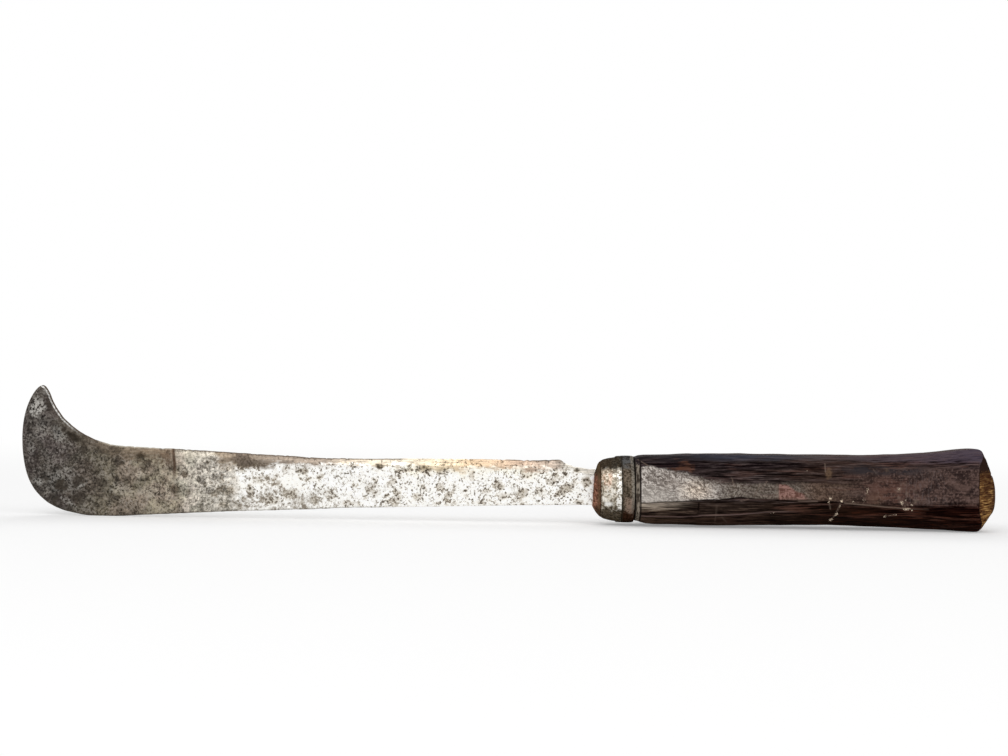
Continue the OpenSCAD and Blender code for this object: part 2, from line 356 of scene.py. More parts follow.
class Shader(Nodes):
    """A material with its coordinates on the bench in millimetres, and noises that it keeps by name."""

    def __init__(self, name, **grains):
        self.material = bpy.data.materials.new(name)
        self.material.use_nodes = True
        super().__init__(self.material.node_tree)
        self.surface = self.tree.nodes["Principled BSDF"]
        back = BENCH.inverted()
        self.place = self.add("Mapping", {
            "Vector": self.add("TexCoord", {}, "Object"),
            "Scale": (1 / MM,) * 3,
            "Location": back.to_translation() / MM,
            "Rotation": back.to_euler(),
        })
        split = self.add("SeparateXYZ", {"Vector": self.place}).socket.node
        self.x, self.y, self.z = (Value(self, socket) for socket in split.outputs)
        for key, settings in grains.items():
            setattr(self, key, self.grain(*settings))

    def mark(self, name):
        return self.add("Attribute", {}, "Fac", attribute_name=name)

    def warped(self, cell, reach):
        """Coordinates pushed about by noise with cells of one size, by a reach."""
        shift = self.add("TexNoise", {"Vector": self.place, "Scale": 1 / cell}, "Color")
        centred = self.add("VectorMath", {0: shift, 1: (0.5,) * 3}, operation="SUBTRACT")
        scaled = self.add("VectorMath", {0: centred, "Scale": 2 * reach}, operation="SCALE")
        return self.add("VectorMath", {0: self.place, 1: scaled})

    def stretched(self, scale, warp=None, shift=(0, 0, 0)):
        """Coordinates in cells: scale gives the cells in a metre, all round or along X, Y and Z."""
        place = self.warped(*warp) if warp else self.place
        scale = np.broadcast_to(scale, 3) * MM
        return self.add("Mapping", {"Vector": place, "Scale": scale, "Location": shift})

    def grain(self, scale, detail=3, rough=0.55, warp=None, shift=(0, 0, 0)):
        """Noise from 0 to 1."""
        place = self.stretched(scale, warp, shift)
        return self.add("TexNoise", {"Vector": place, "Scale": 1, "Detail": detail, "Roughness": rough})

    def crumple(self, *settings):
        """Creases as light from above rakes them: noise less the same noise a little further on."""
        return self.grain(*settings) - self.grain(*settings, CREASE_SHIFT)

    def bump(self, height, reach, under=None):
        inputs = {"Height": height, "Distance": reach * MM, "Strength": 1.0}
        if under:
            inputs["Normal"] = under
        return self.add("Bump", inputs)

    def finish(self, colour, roughness, normal, metallic=0.0, specular=0.5):
        values = {
            "Base Color": colour, "Roughness": roughness, "Normal": normal, "Metallic": metallic,
            "Specular IOR Level": specular,
        }
        for key, value in values.items():
            self.feed(self.surface.inputs[key], value)
        return self.material


# Blade: u is the distance in front of the shoulder, in millimetres
BLADE_L = 293.4
RICASSO_L = 16.4
THICK_ROOT = 4.2
THICK_HOOK = 2.8
EDGE_T = 0.5
BEVEL_W = 4.0
BEVEL_SOFT = 0.12
BELLY = (246.4, -13.8)
BACK = (293.4, 26.0)
TIP = (283.1, 53.6)
TIP_INNER = (278.9, 48.7)
TIP_W = 0.5
THROAT = (240.2, 22.2)
SPINE_ROOT = -8.2

# Line of the edge from the shoulder to the throat, with the worn step of the ricasso
EDGE_POINTS = [
    (0, 10.2), (2.5, 10.4), (5.6, 11.1), (8.7, 11.3), (10.2, 12.2), (13.3, 13.3), (15.4, 14.9),
    (16.8, 15.2), (27, 14.9), (58, 15.4), (99, 15.7), (138, 15.9), (151, 17), (171, 18), (192, 19.4),
    (212, 20.6), (233, 21.6), (240.2, 22.2),
]

# Pulls of the hook's curves, in millimetres, or as shares of how far a curve rises
BELLY_PULL = 28.2
BACK_PULL_LOW = 0.84
BACK_PULL_HIGH = 0.66
TIP_PULL = 2.6
THROAT_PULL = (17.5, 0.9)
INNER_PULL = (-4.6, -14.6)
POINT_PULL = (1.0, 2.6)
POINT_END_PULL = -1.1

# Mesh of the blade: its steps along, its points across near both lines, and its rounded corners
SPLIT_U = 205.0
SET_IN = 2.2
LONG_STEPS = 440
HOOK_STEPS = 220
ROWS_ACROSS = 59
NEAR_SPINE = np.array([0, 0.12, 0.32, 0.65, 1.2])
NEAR_EDGE = np.array([4.4, 3.6, 2.8, 2.1, 1.5, 0.95, 0.5, 0.2, 0])
SPINE_STRIP = np.array([0.6, 0.2, -0.2, -0.6])
CORNER_R = 0.7
NARROW = 12.0
SEARCH_BLOCK = 40
LEAST_HALF = 0.12

# Wear of the steel: depths of its pits and blotches, and how near the edge they fade
SIDE_SEED = 20
SMALL_DEPTH = 0.13
LARGE_DEPTH = 0.17
DIRT_DEPTH = 0.06
RELIEF_FADE = 1.2

# Ranges of the random draws, for the edge's nicks and for the far side's blotches
NICKS = 38
NICK_SEED = 11
NICK_PLACES = (18, 256)
NICK_WIDTHS = (0.5, 1.6)
NICK_DEPTHS = (0.1, 0.38)
REAR_MARKS = 64
REAR_SEED = 17
REAR_X = (-305, -30)
REAR_Z = (-12, 18)
REAR_SIZES = (1.6, 4.6)
REAR_STRENGTHS = (0.5, 1)

# Rust blotches and spots worn bright on the front of the blade, in the form that blotted() takes
BLOTCHES = [
    (-294.8, 2.3, 3.6, 3.8, 1.3), (-298.7, -4.6, 3.2, 2, 0.7, -40), (-306.4, 15, 3.6, 3.8, 0.6),
    (-311.6, 11.9, 1.6, 2.4, 0.7), (-296.6, 11.4, 2.2, 2, 0.7), (-294, 30.5, 1.3, 1.5, 0.8),
    (-288.4, 26.9, 4.6, 1.7, 0.9, -32), (-283.2, 19.6, 2.6, 2.6, 0.7), (-281.1, 13.4, 1.8, 3.2, 0.6),
    (-285.8, -4.6, 4.8, 3.2, 0.9, -20), (-276.5, 9.8, 3.2, 3, 0.55), (-273.9, 3.1, 2.8, 2.6, 0.7),
    (-265.4, 14.5, 3.2, 2.1, 1, -10), (-268.2, -3.6, 2.7, 1.7, 0.8), (-262, 4.1, 2.7, 2.4, 0.6),
    (-253.8, 17.3, 3.1, 2.2, 0.9), (-251.7, 10.8, 4.2, 1.9, 0.5), (-242.4, 5.2, 2.6, 2.2, 0.5),
    (-236.2, 0.1, 3.4, 3, 0.9), (-231.3, 7.5, 2, 2.1, 1), (-230, -1.5, 1.9, 1.9, 0.7),
    (-220.7, 12.9, 3.4, 2.1, 0.6), (-214.5, -0.8, 4.2, 1.6, 0.8, 35), (-209.6, 11.4, 4, 3, 0.6),
    (-209.4, -0.5, 2.8, 2.5, 0.9), (-210.9, -8, 2.8, 2.2, 0.7), (-203.2, -8.4, 2.6, 2.2, 0.8),
    (-197.5, -1, 2.2, 3.4, 0.8), (-202, 14.8, 5, 3.6, 1.5, -12), (-201.9, 11.1, 1.7, 1.8, 0.8),
    (-191.6, 5.3, 4, 1.8, 0.6, 10), (-187, -5.6, 6.2, 2.6, 0.8), (-178.9, 10.1, 2.2, 2, 0.6),
    (-171.2, 9.3, 3.9, 2.1, 0.95), (-176.8, -2.6, 5.2, 3, 0.85), (-164.4, -5.7, 3, 2.8, 0.85),
    (-161.3, 6.9, 2.1, 1.4, 0.8), (-156.2, -3.1, 2.9, 4.2, 0.6), (-146.4, -7.2, 5, 1.8, 0.6),
    (-130.9, 11.9, 2.5, 1.3, 0.9), (-131.9, -1.4, 2.2, 2, 0.6), (-127, -3.3, 1.8, 1, 1, 20),
    (-124.2, 3.8, 3.2, 1.9, 0.6, 30), (-116.7, 9.8, 3.2, 1.1, 0.8), (-107.6, 10, 4.4, 1.9, 1),
    (-99, 9.4, 3.6, 2, 0.6), (-111.2, -4, 2.3, 1.7, 0.7), (-99.9, 0.8, 2.8, 1.9, 0.7, -40),
    (-94.6, -2.1, 3.4, 1.5, 0.8, 40), (-96.4, -5.7, 2.4, 1.2, 0.9, -30), (-83.5, 7.2, 1.6, 2.5, 0.6),
    (-86.6, -0.8, 1.1, 0.8, 1), (-75.8, -1.2, 2.4, 1.4, 0.6), (-67.2, -3.5, 3.4, 2.1, 0.6),
    (-57.3, -2.2, 3.3, 2.5, 0.9), (-48.3, -0.9, 2.3, 1.7, 0.6), (-42.2, 4.2, 2.8, 2.2, 0.6),
    (-35.2, -0.1, 7, 2.3, 0.95, 32), (-24.4, 3.8, 3.2, 2.6, 0.8), (-28.5, -6.6, 2.7, 1.3, 0.7),
    (-29.3, 9.6, 1.4, 0.9, 1), (-78.4, -7, 2.7, 1.2, 0.6), (-55.1, 6.4, 2.7, 1.7, 0.5),
]
BRIGHT_SPOTS = [
    (-307.2, 42.3, 3.8, 5.4, 1, -20), (-302.6, 52, 3, 3, 0.6), (-296.1, 29, 3.6, 6.4, 0.34, 15),
    (-305.5, 30, 3, 5.5, 0.12), (-310.6, 21.2, 2, 3, 0.34), (-294.5, 4, 8.5, 6.5, 0.36),
    (-307.5, 4.1, 2.4, 2.2, 0.6), (-291.6, -6.6, 5, 1.6, 0.5, -35), (-285.5, 1.4, 4, 0.7, 0.6, 30),
    (-264, 0, 6, 4, 0.45), (-249.6, -1, 5.2, 2.6, 0.6), (-253.8, 7.7, 3, 2, 0.45),
    (-239.8, -1.5, 1.4, 3.8, 1), (-181, 4, 22, 4.2, 0.75), (-223.8, 18.1, 7.5, 1.3, 1, -3),
    (-216.1, 3.6, 3.6, 2.1, 0.9), (-214.5, -3.6, 2.4, 3, 0.7),
]


def blade_lines():
    """Matching points along the spine and along the edge, from inside the collar to the tip."""
    u = np.linspace(-SET_IN, SPLIT_U, LONG_STEPS, endpoint=False)
    drop = BELLY[1] - SPINE_ROOT
    rise = BACK[1] - BELLY[1]
    climb = TIP[1] - BACK[1]

    def spine_at(v):
        return np.stack([v, SPINE_ROOT + drop * (v / BELLY[0]) ** 2], axis=1)

    def edge_at(v):
        return np.stack([v, track(EDGE_POINTS, v)], axis=1)

    outer = np.vstack([
        spine_at(np.linspace(SPLIT_U, BELLY[0], 20)),
        bezier(BELLY, (BELLY_PULL, 0), (0, -BACK_PULL_LOW * rise), BACK, 60),
        bezier(BACK, (0, BACK_PULL_HIGH * climb), (TIP_PULL, 0), TIP, 50),
    ])
    inner = np.vstack([
        edge_at(np.linspace(SPLIT_U, THROAT[0], 20)),
        bezier(THROAT, THROAT_PULL, INNER_PULL, TIP_INNER, 60),
        bezier(TIP_INNER, POINT_PULL, (POINT_END_PULL, 0), (TIP[0] - TIP_W, TIP[1]), 12),
    ])
    spine = np.vstack([spine_at(u), evenly(outer, HOOK_STEPS)])
    edge = np.vstack([edge_at(u), evenly(inner, HOOK_STEPS)])
    return spine, edge


def nicked(spine, edge):
    """The two lines with the wear of age: a wavering spine, and small nicks in the edge."""
    along = np.concatenate([[0], np.cumsum(np.linalg.norm(np.diff(edge, axis=0), axis=1))])
    inward = spine - edge
    inward /= np.linalg.norm(inward, axis=1, keepdims=True)
    places = np.stack([along, np.zeros_like(along)], axis=1)
    waver = noises(places, (17, 3, 0.16), (5, 4, 0.09), (1.7, 5, 0.06))
    spine_waver = noises(places + SPINE_SHIFT, (22, 6, 0.18), (6, 7, 0.08))
    nicks = np.zeros_like(along)
    draw = np.random.default_rng(NICK_SEED)
    for centre in draw.uniform(*NICK_PLACES, NICKS):
        width = draw.uniform(*NICK_WIDTHS)
        depth = draw.uniform(*NICK_DEPTHS)
        nicks = np.maximum(nicks, depth * tent(along - centre, width))
    worn = edge + inward * (nicks + np.maximum(waver, -0.1))[:, None]
    return spine - inward * spine_waver[:, None], worn


def corner_loss(gap):
    """How far a rounded corner falls away, at a distance from it."""
    inside = np.clip(CORNER_R - gap, 0, CORNER_R)
    return CORNER_R - np.sqrt(CORNER_R**2 - inside**2)


def nearest_gap(flat, line):
    """Distance from each point to the nearest point of a line, searched a stretch at a time."""
    gaps = np.empty(flat.shape[:2])
    for start in range(0, len(flat), SEARCH_BLOCK):
        near = line[max(0, start - 2 * SEARCH_BLOCK) : start + 3 * SEARCH_BLOCK]
        part = flat[start : start + SEARCH_BLOCK]
        gaps[start : start + SEARCH_BLOCK] = np.linalg.norm(part[:, :, None] - near, axis=-1).min(axis=2)
    return gaps


def rows_between(spine, edge, span):
    """Points across the blade from the spine to the edge, close together near both, and how far
    they are from the spine. Where the blade is narrow they all draw together."""
    squeeze = np.minimum(1, span / NARROW)[:, None]
    low = NEAR_SPINE * squeeze
    high = span[:, None] - NEAR_EDGE * squeeze
    inner = np.linspace(0, 1, ROWS_ACROSS + 2)[1:-1]
    mid = low[:, -1:] + (high[:, :1] - low[:, -1:]) * inner
    gap = np.hstack([low, mid, high])
    share = (gap / span[:, None])[..., None]
    return spine[:, None] * (1 - share) + edge[:, None] * share, gap


def half_thickness(along, to_edge, to_spine):
    """Half the blade's thickness: square at the ricasso, and bevelled to the edge in front of it."""
    half = np.interp(along, [RICASSO_L, BLADE_L], [THICK_ROOT / 2, THICK_HOOK / 2])
    ground = EDGE_T / 2 + (THICK_ROOT - EDGE_T) / 2 / BEVEL_W * to_edge
    bevelled = half - np.logaddexp(0, (half - ground) / BEVEL_SOFT) * BEVEL_SOFT
    squared = half - corner_loss(to_edge)
    share = ease(along, RICASSO_L - 3, RICASSO_L + 4)
    return squared * (1 - share) + bevelled * share - corner_loss(to_spine)


def rear_blotches():
    """Blotches of the side that the photograph doesn't show."""
    draw = np.random.default_rng(REAR_SEED)
    marks = []
    for _ in range(REAR_MARKS):
        x, z = draw.uniform(*REAR_X), draw.uniform(*REAR_Z)
        marks.append((x, z, *draw.uniform(*REAR_SIZES, 2), draw.uniform(*REAR_STRENGTHS)))
    return marks


def worn_face(flat, half, to_edge, side, blotches):
    """Points of one side of the blade with their dents and pits, and their marks."""
    seed = SIDE_SEED + side
    face = flat + FACE_SHIFT * (side > 0)
    x, z = ROOT_X - flat[..., 0], flat[..., 1]
    cluster = ease(rough_noise(face, 13, seed + 30), -0.5, 0.6)
    small = pits(face, 2.3, 0.15 + 0.6 * cluster, 0.35, 0.85, seed + 40)
    large = pits(face, 5.2, 0.2 + 0.35 * cluster, 0.8, 1.9, seed + 50)
    ragged = noises(face, (2.6, seed + 60, 0.3), (1.1, seed + 61, 0.22))
    dirt = blotted(x, z, blotches, ragged)
    relief = rough_noise(face, 15, seed) * 0.09 + noises(face, (4.5, seed + 5, 0.035), (1.4, seed + 9, 0.02))
    relief -= SMALL_DEPTH * small + LARGE_DEPTH * large
    relief -= DIRT_DEPTH * dirt * (1 + noise(face, 1.2, seed + 62))
    height = half + relief * np.minimum(1, to_edge / RELIEF_FADE)
    points = np.stack([x, side * np.maximum(height, LEAST_HALF), z], axis=-1)
    return points, np.maximum(small, large), dirt, blotted(x, z, BRIGHT_SPOTS, ragged)


def blade_mesh():
    spine, edge = nicked(*blade_lines())
    span = np.linalg.norm(edge - spine, axis=1)
    flat, gap = rows_between(spine, edge, span)
    to_edge = nearest_gap(flat, edge)
    to_spine = np.minimum(nearest_gap(flat, spine), gap)
    half = half_thickness(flat[..., 0], to_edge, to_spine)
    front = worn_face(flat, half, to_edge, -1, BLOTCHES)
    rear = worn_face(flat, half, to_edge, 1, rear_blotches())

    # Strip of the spine that joins the two sides
    strip = np.repeat(front[0][:, :1], len(SPINE_STRIP), axis=1)
    strip[..., 1] = (rear[0][:, :1, 1] - front[0][:, :1, 1]) / 2 * SPINE_STRIP
    out = (spine - edge) / span[:, None]
    bulge = 0.1 + noise(strip[..., [0, 1]] + STRIP_SHIFT, 2.2, 90) * 0.08
    strip[..., 0] -= out[:, None, 0] * bulge
    strip[..., 2] += out[:, None, 1] * bulge

    def loop(front, rear, filler):
        return np.concatenate([front, rear[:, ::-1], np.full(strip.shape[:2], filler)], axis=1)

    rings = np.concatenate([front[0], rear[0][:, ::-1], strip], axis=1)
    names = (("pit", 0.0), ("dirt", 0.3), ("worn", 0.0))
    marks = {name: loop(front[k], rear[k], filler) for k, (name, filler) in enumerate(names, 1)}
    marks["edge_gap"] = loop(to_edge, to_edge, 30.0)
    marks["spine_gap"] = loop(to_spine, to_spine, 0.0)
    return skin("blade_forging", rings, closed=False, **marks)


# Turned iron pieces
AROUND = 200
PATTERN_R = 17.0
SLOT_HALF_W = 1.9
SLOT_HALF_H = 6.6


def circle(x, radius, count=AROUND):
    """Ring of points round the tang's axis."""
    turn = np.linspace(0, 2 * math.pi, count, endpoint=False)
    return np.stack([np.full(count, x), radius * np.cos(turn), radius * np.sin(turn)], axis=1)


def slotted(rings, start, end):
    """Rings with a rectangular slot for the tang at both ends."""
    slot = circle(0, 1.0)
    reach = np.maximum(np.abs(slot[:, 1:]), 1e-6) / (SLOT_HALF_W, SLOT_HALF_H)
    slot /= reach.max(axis=1, keepdims=True)
    return np.concatenate([[slot + (start, 0, 0)], rings, [slot + (end, 0, 0)]])


def turned(profile, spacing=0.5):
    """Rings along a profile of (place along X, radius), at about equal steps between its corners."""
    corners = np.array(profile, dtype=float)
    line = [corners[:1]]
    for a, b in zip(corners[:-1], corners[1:]):
        steps = max(1, int(np.linalg.norm(b - a) / spacing))
        line.append(a + (b - a) * np.linspace(0, 1, steps + 1)[1:, None])
    return np.array([circle(x, r) for x, r in np.vstack(line)])


def worn_iron(name, rings, seed, dent, pit_depth, share):
    """Turned piece with hammer dents, pits and an uneven girth, and its pits as a mark."""
    x, y, z = np.moveaxis(rings, -1, 0)
    angle = np.arctan2(z, y)
    flat = np.stack([x, angle * PATTERN_R], axis=-1)
    around = np.stack([x / 20, np.cos(angle), np.sin(angle)], axis=-1)
    small = pits(flat, 1.5, share, 0.3, 0.75, seed + 2)
    large = pits(flat, 3.6, share * 0.7, 0.6, 1.6, seed + 6)
    dents = noises(around, (0.9, seed, dent), (0.24, seed + 1, dent * 0.5))
    push = (dents - pit_depth * small - pit_depth * 1.3 * large) * ease(np.hypot(y, z), 9.5, 12.0)
    return skin(name, pushed(rings, push), pit=np.maximum(small, large))


def bolster_mesh():
    length = CAP_X - ROOT_X
    swell = [(ROOT_X + length * s, 9.0 + 5.9 * s - 0.7 * s * s) for s in np.linspace(0, 1, 14)[1:]]
    outer = turned([(ROOT_X, 7.2), (ROOT_X, 8.6), *swell, (CAP_X, 13.3), (CAP_X, 8)])
    rings = slotted(outer, ROOT_X, CAP_X)
    rings[..., 0] += (1.25 + 0.065 * rings[..., 2]) * ease(CAP_X - rings[..., 0], 0, length)
    return worn_iron("bolster_collar", rings, seed=210, dent=0.2, pit_depth=0.14, share=0.5)


def cap_mesh():
    back = TENON_X - FIT
    outer = turned([
        (CAP_X, 8), (CAP_X, 14.0), (CAP_X + 0.15, 14.35), (CAP_X + 1.6, 15.2), (CAP_X + 4.7, 16.0),
        (LIP_X - 1.1, 16.35), (LIP_X - 0.5, 16.4), (LIP_X - 0.15, 16.7), (LIP_X + 0.2, 17.0),
        (RING_X - 0.25, 17.1), (RING_X, 16.9), (RING_X, TENON_R + FIT), (back, TENON_R + FIT), (back, 8),
    ])
    rings = slotted(outer, CAP_X, back)
    return worn_iron("cap_shell", rings, seed=220, dent=0.17, pit_depth=0.16, share=0.75)


def ring_mesh():
    rings = turned([
        (RING_X, TENON_R + FIT), (RING_X, 16.75), (RING_X + 0.3, 17.1), (-3.0, 17.2), (-1.1, 17.1),
        (-0.5, 16.95), (-0.25, 16.5), (-0.2, TENON_R + FIT), (RING_X, TENON_R + FIT),
    ])
    return worn_iron("ring_band", rings[:-1], seed=230, dent=0.14, pit_depth=0.08, share=0.35)


# Handle: half section from the side to the top, and how it changes along X
SIDE_OUTLINE = [(0.0, 17.7), (9.5, 17.7), (12.6, 16.4), (15.4, 14.2), (17.3, 11.0), (18.4, 8.0)]
HALF_W = 17.7
HALF_H = 18.4
FLARE_FROM = 129.6
FLARE_W = 1.0
CHAMFER = 1.1

# Arrises of the front side along X: they follow the cracks and shaved facets, each as (x, z)
FRONT_FLAT_TOP = [
    (0, 12.4), (7, 12.5), (18, 11.2), (26, 9.8), (31, 8.2), (37, 6.8), (46, 5.2), (60, 4.4), (98, 4.6),
    (140, 8.5), (177, 10),
]
FRONT_FLAT_LOW = [
    (0, -6.3), (2.6, -6.2), (18.8, -5.5), (29.4, -5), (36, -4.5), (42.6, -4.5), (52.7, -3.2), (62.8, -4.2),
    (72, -4.3), (84, -4.4), (96.2, -5), (104.8, -5.7), (127.6, -8.2), (150.9, -9.5), (177, -10.5),
]
FRONT_MID_TOP = [(0, 14.9), (60, 14.8), (120, 14.6), (177, 15.6)]
FRONT_MID_LOW = [
    (0, -12.6), (12, -13.2), (23, -13.3), (30, -12.9), (34, -12.4), (43, -12.4), (53, -11.9), (65, -10.8),
    (73, -10.5), (84, -10.3), (100, -11.8), (127, -13.4), (177, -14.8),
]
REAR_FLAT = [(0, 9.8), (45, 8.6), (90, 9.9), (140, 9.2), (177, 10)]
REAR_MID = [(0, 15.2), (60, 14.6), (120, 15.3), (177, 15.4)]

# Half height of the top and of the underside along X
TOP_LINE = [
    (0, 16.3), (1.4, 16.4), (2.4, 16.9), (3.4, 17.1), (5.5, 17.35), (19, 17.65), (24, 18), (29, 18.25),
    (43, 18.3), (50, 18.05), (73, 17.8), (81, 17.5), (96, 17.4), (112, 17.3), (120, 17.3), (127, 17.5),
    (135, 17.7), (143, 18.1), (151, 18.5), (158, 19.15), (166, 20.1), (171, 20.6), (176, 20.9),
]
LOW_LINE = [
    (0, 15.8), (1.4, 15.9), (2.4, 16.3), (3.4, 16.6), (5.5, 17.1), (10, 17.4), (19, 17.6), (26, 18),
    (34, 18.25), (42, 18.4), (50, 18.25), (65, 18.1), (81, 17.9), (96, 17.9), (104, 18.05), (112, 18.4),
    (124, 18.9), (132, 19.3), (140, 19.6), (155, 20.4), (168, 21.2), (176, 21.6),
]

# Grip: shares at which points lie between two corners, its step, draft, wear and waver
EDGE_SHARES = np.array([0, 0.03, 0.07, *np.arange(13, 91, 7) / 100, 0.96])
HANDLE_STEP = 0.55
DRAFT_L = 22.0
SIDE_DRAFT = 2.3
TOP_DRAFT = 1.2
ARRIS_PASSES = 2
RIM_PASSES = 14
ARRIS_WAVER = 0.012

# Dome of the butt: its step from the rim, its crown's share of the rim, its fullness, oval and drop
RIM_STEP = 0.5
CROWN_SHARE = 0.44
DOME_POWER = 1.6
RIM_HALF_H = 21.6
OVAL_HALF_W = 19.6
OVAL_HALF_H = 22.0
CROWN_DROP = 3.0
ROUNDING = 0.85
RIM_INSET = 0.012


def handle_corners(x):
    """The twelve corners of the section at places along X, round from the rear side's lower arris."""
    rear, rear_mid, top = track(REAR_FLAT, x), track(REAR_MID, x), np.full_like(x, HALF_H)
    front = [track(line, x) for line in (FRONT_MID_TOP, FRONT_FLAT_TOP, FRONT_FLAT_LOW, FRONT_MID_LOW)]
    heights = np.stack([-rear, rear, rear_mid, top, top, *front, -top, -top, -rear_mid], axis=1)
    widths = track(SIDE_OUTLINE, np.abs(heights))
    widths[:, 4:10] *= -1
    places = np.stack(np.broadcast_arrays(x[:, None], np.arange(12) * 9.0), axis=-1)
    return np.stack([widths, heights], axis=-1) * (1 + ARRIS_WAVER * noise(places, (32, 3), 301))[..., None]


def handle_section(x, w_grow):
    """Section rings at places along X, with the flare added to their width, drawn in to the top line
    and the low line."""
    corners = handle_corners(x)
    after = np.roll(corners, -1, axis=1)
    shares = EDGE_SHARES[:, None]
    points = corners[:, :, None] * (1 - shares) + after[:, :, None] * shares
    points = points.reshape(len(x), -1, 2)
    points[..., 0] *= (1 + w_grow / HALF_W)[:, None]
    reach = np.where(points[..., 1] > 0, track(TOP_LINE, x)[:, None], track(LOW_LINE, x)[:, None])
    points[..., 1] *= 1 + (reach / HALF_H - 1) * ease(np.abs(points[..., 1]), 7, 17)
    return np.concatenate([np.repeat(x[:, None, None], points.shape[1], axis=1), points], axis=-1)


def drawn_back(rings):
    """How far the butt's rim is drawn back: most on the sides, and forward at the top."""
    return SIDE_DRAFT * (1 - ease(np.abs(rings[..., 2]), 9, 19)) - TOP_DRAFT * ease(rings[..., 2], 12, 19)


def inner_rings(profile, like):
    """Round rings along a profile of (x, radius), with points at the same bearings as another ring's."""
    flat = like[:, 1:] - like[:, 1:].mean(axis=0)
    bearing = np.arctan2(flat[:, 1], flat[:, 0])
    round_ring = np.stack([np.zeros_like(bearing), np.cos(bearing), np.sin(bearing)], axis=1)
    return np.array([round_ring * radius + (x, 0, 0) for x, radius in profile])


def dome_rings(last):
    """Rounded rim and domed end beyond the last ring of the grip, with a crown a little below the axis."""
    t = np.concatenate([np.linspace(0, 0.12, 6)[1:], np.linspace(0.14, 1, 30)])
    share = 1 - t * (1 - CROWN_SHARE)
    climb = (1 - share**DOME_POWER) / (1 - CROWN_SHARE**DOME_POWER)
    dome = np.repeat(last[None], len(t), axis=0)
    dome[..., 0] = (RIM_X + RIM_STEP + (END_X - RIM_X - RIM_STEP) * climb)[:, None]
    bearing = np.arctan2(dome[..., 2] / RIM_HALF_H, dome[..., 1] / (HALF_W + FLARE_W))
    oval = np.stack([OVAL_HALF_W * np.cos(bearing), OVAL_HALF_H * np.sin(bearing)], axis=-1)
    rounding = (ROUNDING * ease(t, 0, 0.8))[:, None, None]
    dome[..., 1:] = dome[..., 1:] * (1 - rounding) + oval * rounding
    dome[..., 1:] *= (share - RIM_INSET)[:, None, None]
    dome[..., 2] -= CROWN_DROP * t[:, None]
    dome[..., 0] -= drawn_back(last)[None] * (1 - climb)[:, None]
    return dome


def handle_rings():
    """Rings from the bore's front over the tenon, the grip and the butt, back into the bore, and the
    first and last row of bare wood."""
    near = np.array([0.0, 0.5, 1.1, 1.7])
    shoulder = handle_section(near, -CHAMFER * (1 - ease(near, -0.6, 2 * CHAMFER)))
    x = np.arange(2 * CHAMFER, RIM_X, HANDLE_STEP)
    flare = np.clip((x - FLARE_FROM) / (RIM_X - FLARE_FROM), 0, 1) ** 1.5
    grip = handle_section(x, flare * FLARE_W)
    last = handle_section(np.array([RIM_X]), np.array([FLARE_W]))[0]
    dome = dome_rings(last)
    for part in (grip, last[None]):
        part[..., 0] -= drawn_back(part) * ease(part[..., 0], RIM_X - DRAFT_L, RIM_X)

    # Worn arrises, and a rim that is smoothed along X as well
    outer = np.concatenate([shoulder, grip, last[None], dome])
    for _ in range(ARRIS_PASSES):
        outer = outer * 0.5 + (np.roll(outer, 1, axis=1) + np.roll(outer, -1, axis=1)) * 0.25
    rim = len(shoulder) + len(grip)
    for _ in range(RIM_PASSES):
        rows = outer[rim - 9 : rim + 8]
        rows[1:-1] = rows[1:-1] * 0.5 + (rows[:-2] + rows[2:]) * 0.25

    tenon = [(TENON_X, 10), (TENON_X, TENON_R - 0.4), (TENON_X + 0.4, TENON_R), (-8, TENON_R), (0, TENON_R)]
    hole = [(END_X - 0.1, BORE_R + 0.35), (END_X - 0.45, BORE_R + 0.05), (END_X - 1.5, BORE_R)]
    bore = [(place, BORE_R) for place in (ROVE_X, 150, 110, 70, 30, 0, TENON_X)]
    rings = np.concatenate([inner_rings(tenon, outer[0]), outer, inner_rings(hole + bore, outer[-1])])
    return rings, len(tenon), len(tenon) + len(outer) - 1


# Marks on the front of the handle, in the forms that blotted() and stroke() take
CHIPS = [
    (98.8, -3.4, 1.4, 0.64, 1, 50), (97.7, -5.6, 0.77, 0.56, 0.7, 60), (104.3, -5, 0.59, 0.48, 1),
    (103.3, -8, 1.3, 0.4, 0.7, 65), (101.8, -11.8, 1.2, 0.64, 1, 50), (99.7, -15.1, 1.2, 0.72, 1, 20),
    (109.9, -5.3, 0.77, 0.48, 0.8), (117.2, 0.1, 1.6, 0.56, 1, 70), (115.5, -4.5, 0.94, 0.56, 1, 60),
    (133.4, 1.1, 1.3, 0.32, 0.6), (134.5, -5.5, 1, 0.4, 0.9, -15), (135, -7.1, 1.1, 0.4, 0.9, -10),
    (137.2, -9.1, 2.1, 0.64, 1), (139.9, -9.9, 0.77, 0.56, 1, 60), (141.8, -1.4, 1.7, 0.28, 0.6, -5),
    (142.3, -3, 1.5, 0.28, 0.6, 8), (139.8, -7, 1.9, 0.28, 0.6, 15), (137.6, -4.4, 1.5, 0.24, 0.5, 10),
    (126.6, -13, 1, 0.44, 0.9, 30), (129.2, -12.6, 0.59, 0.32, 0.7), (131.7, -12.1, 1.1, 0.32, 0.8, 15),
    (69.4, -11.2, 1.5, 0.36, 0.9, 15), (87.3, 10.6, 0.59, 0.36, 0.7, 20), (85.8, -1, 0.68, 0.48, 0.5),
]
SCARS = [(97.9, 9.2, 1.7, 3.1, 1, -8), (127.3, 10.3, 1.6, 1.3, 0.35), (121, -4, 4.5, 3.6, 0.3)]
AMBER_STAINS = [(24.5, 14, 4.6, 1.9, 0.75, -32), (20.5, 11.2, 5.6, 0.9, 0.7, 2), (27, 11.2, 2.8, 1.7, 0.6)]
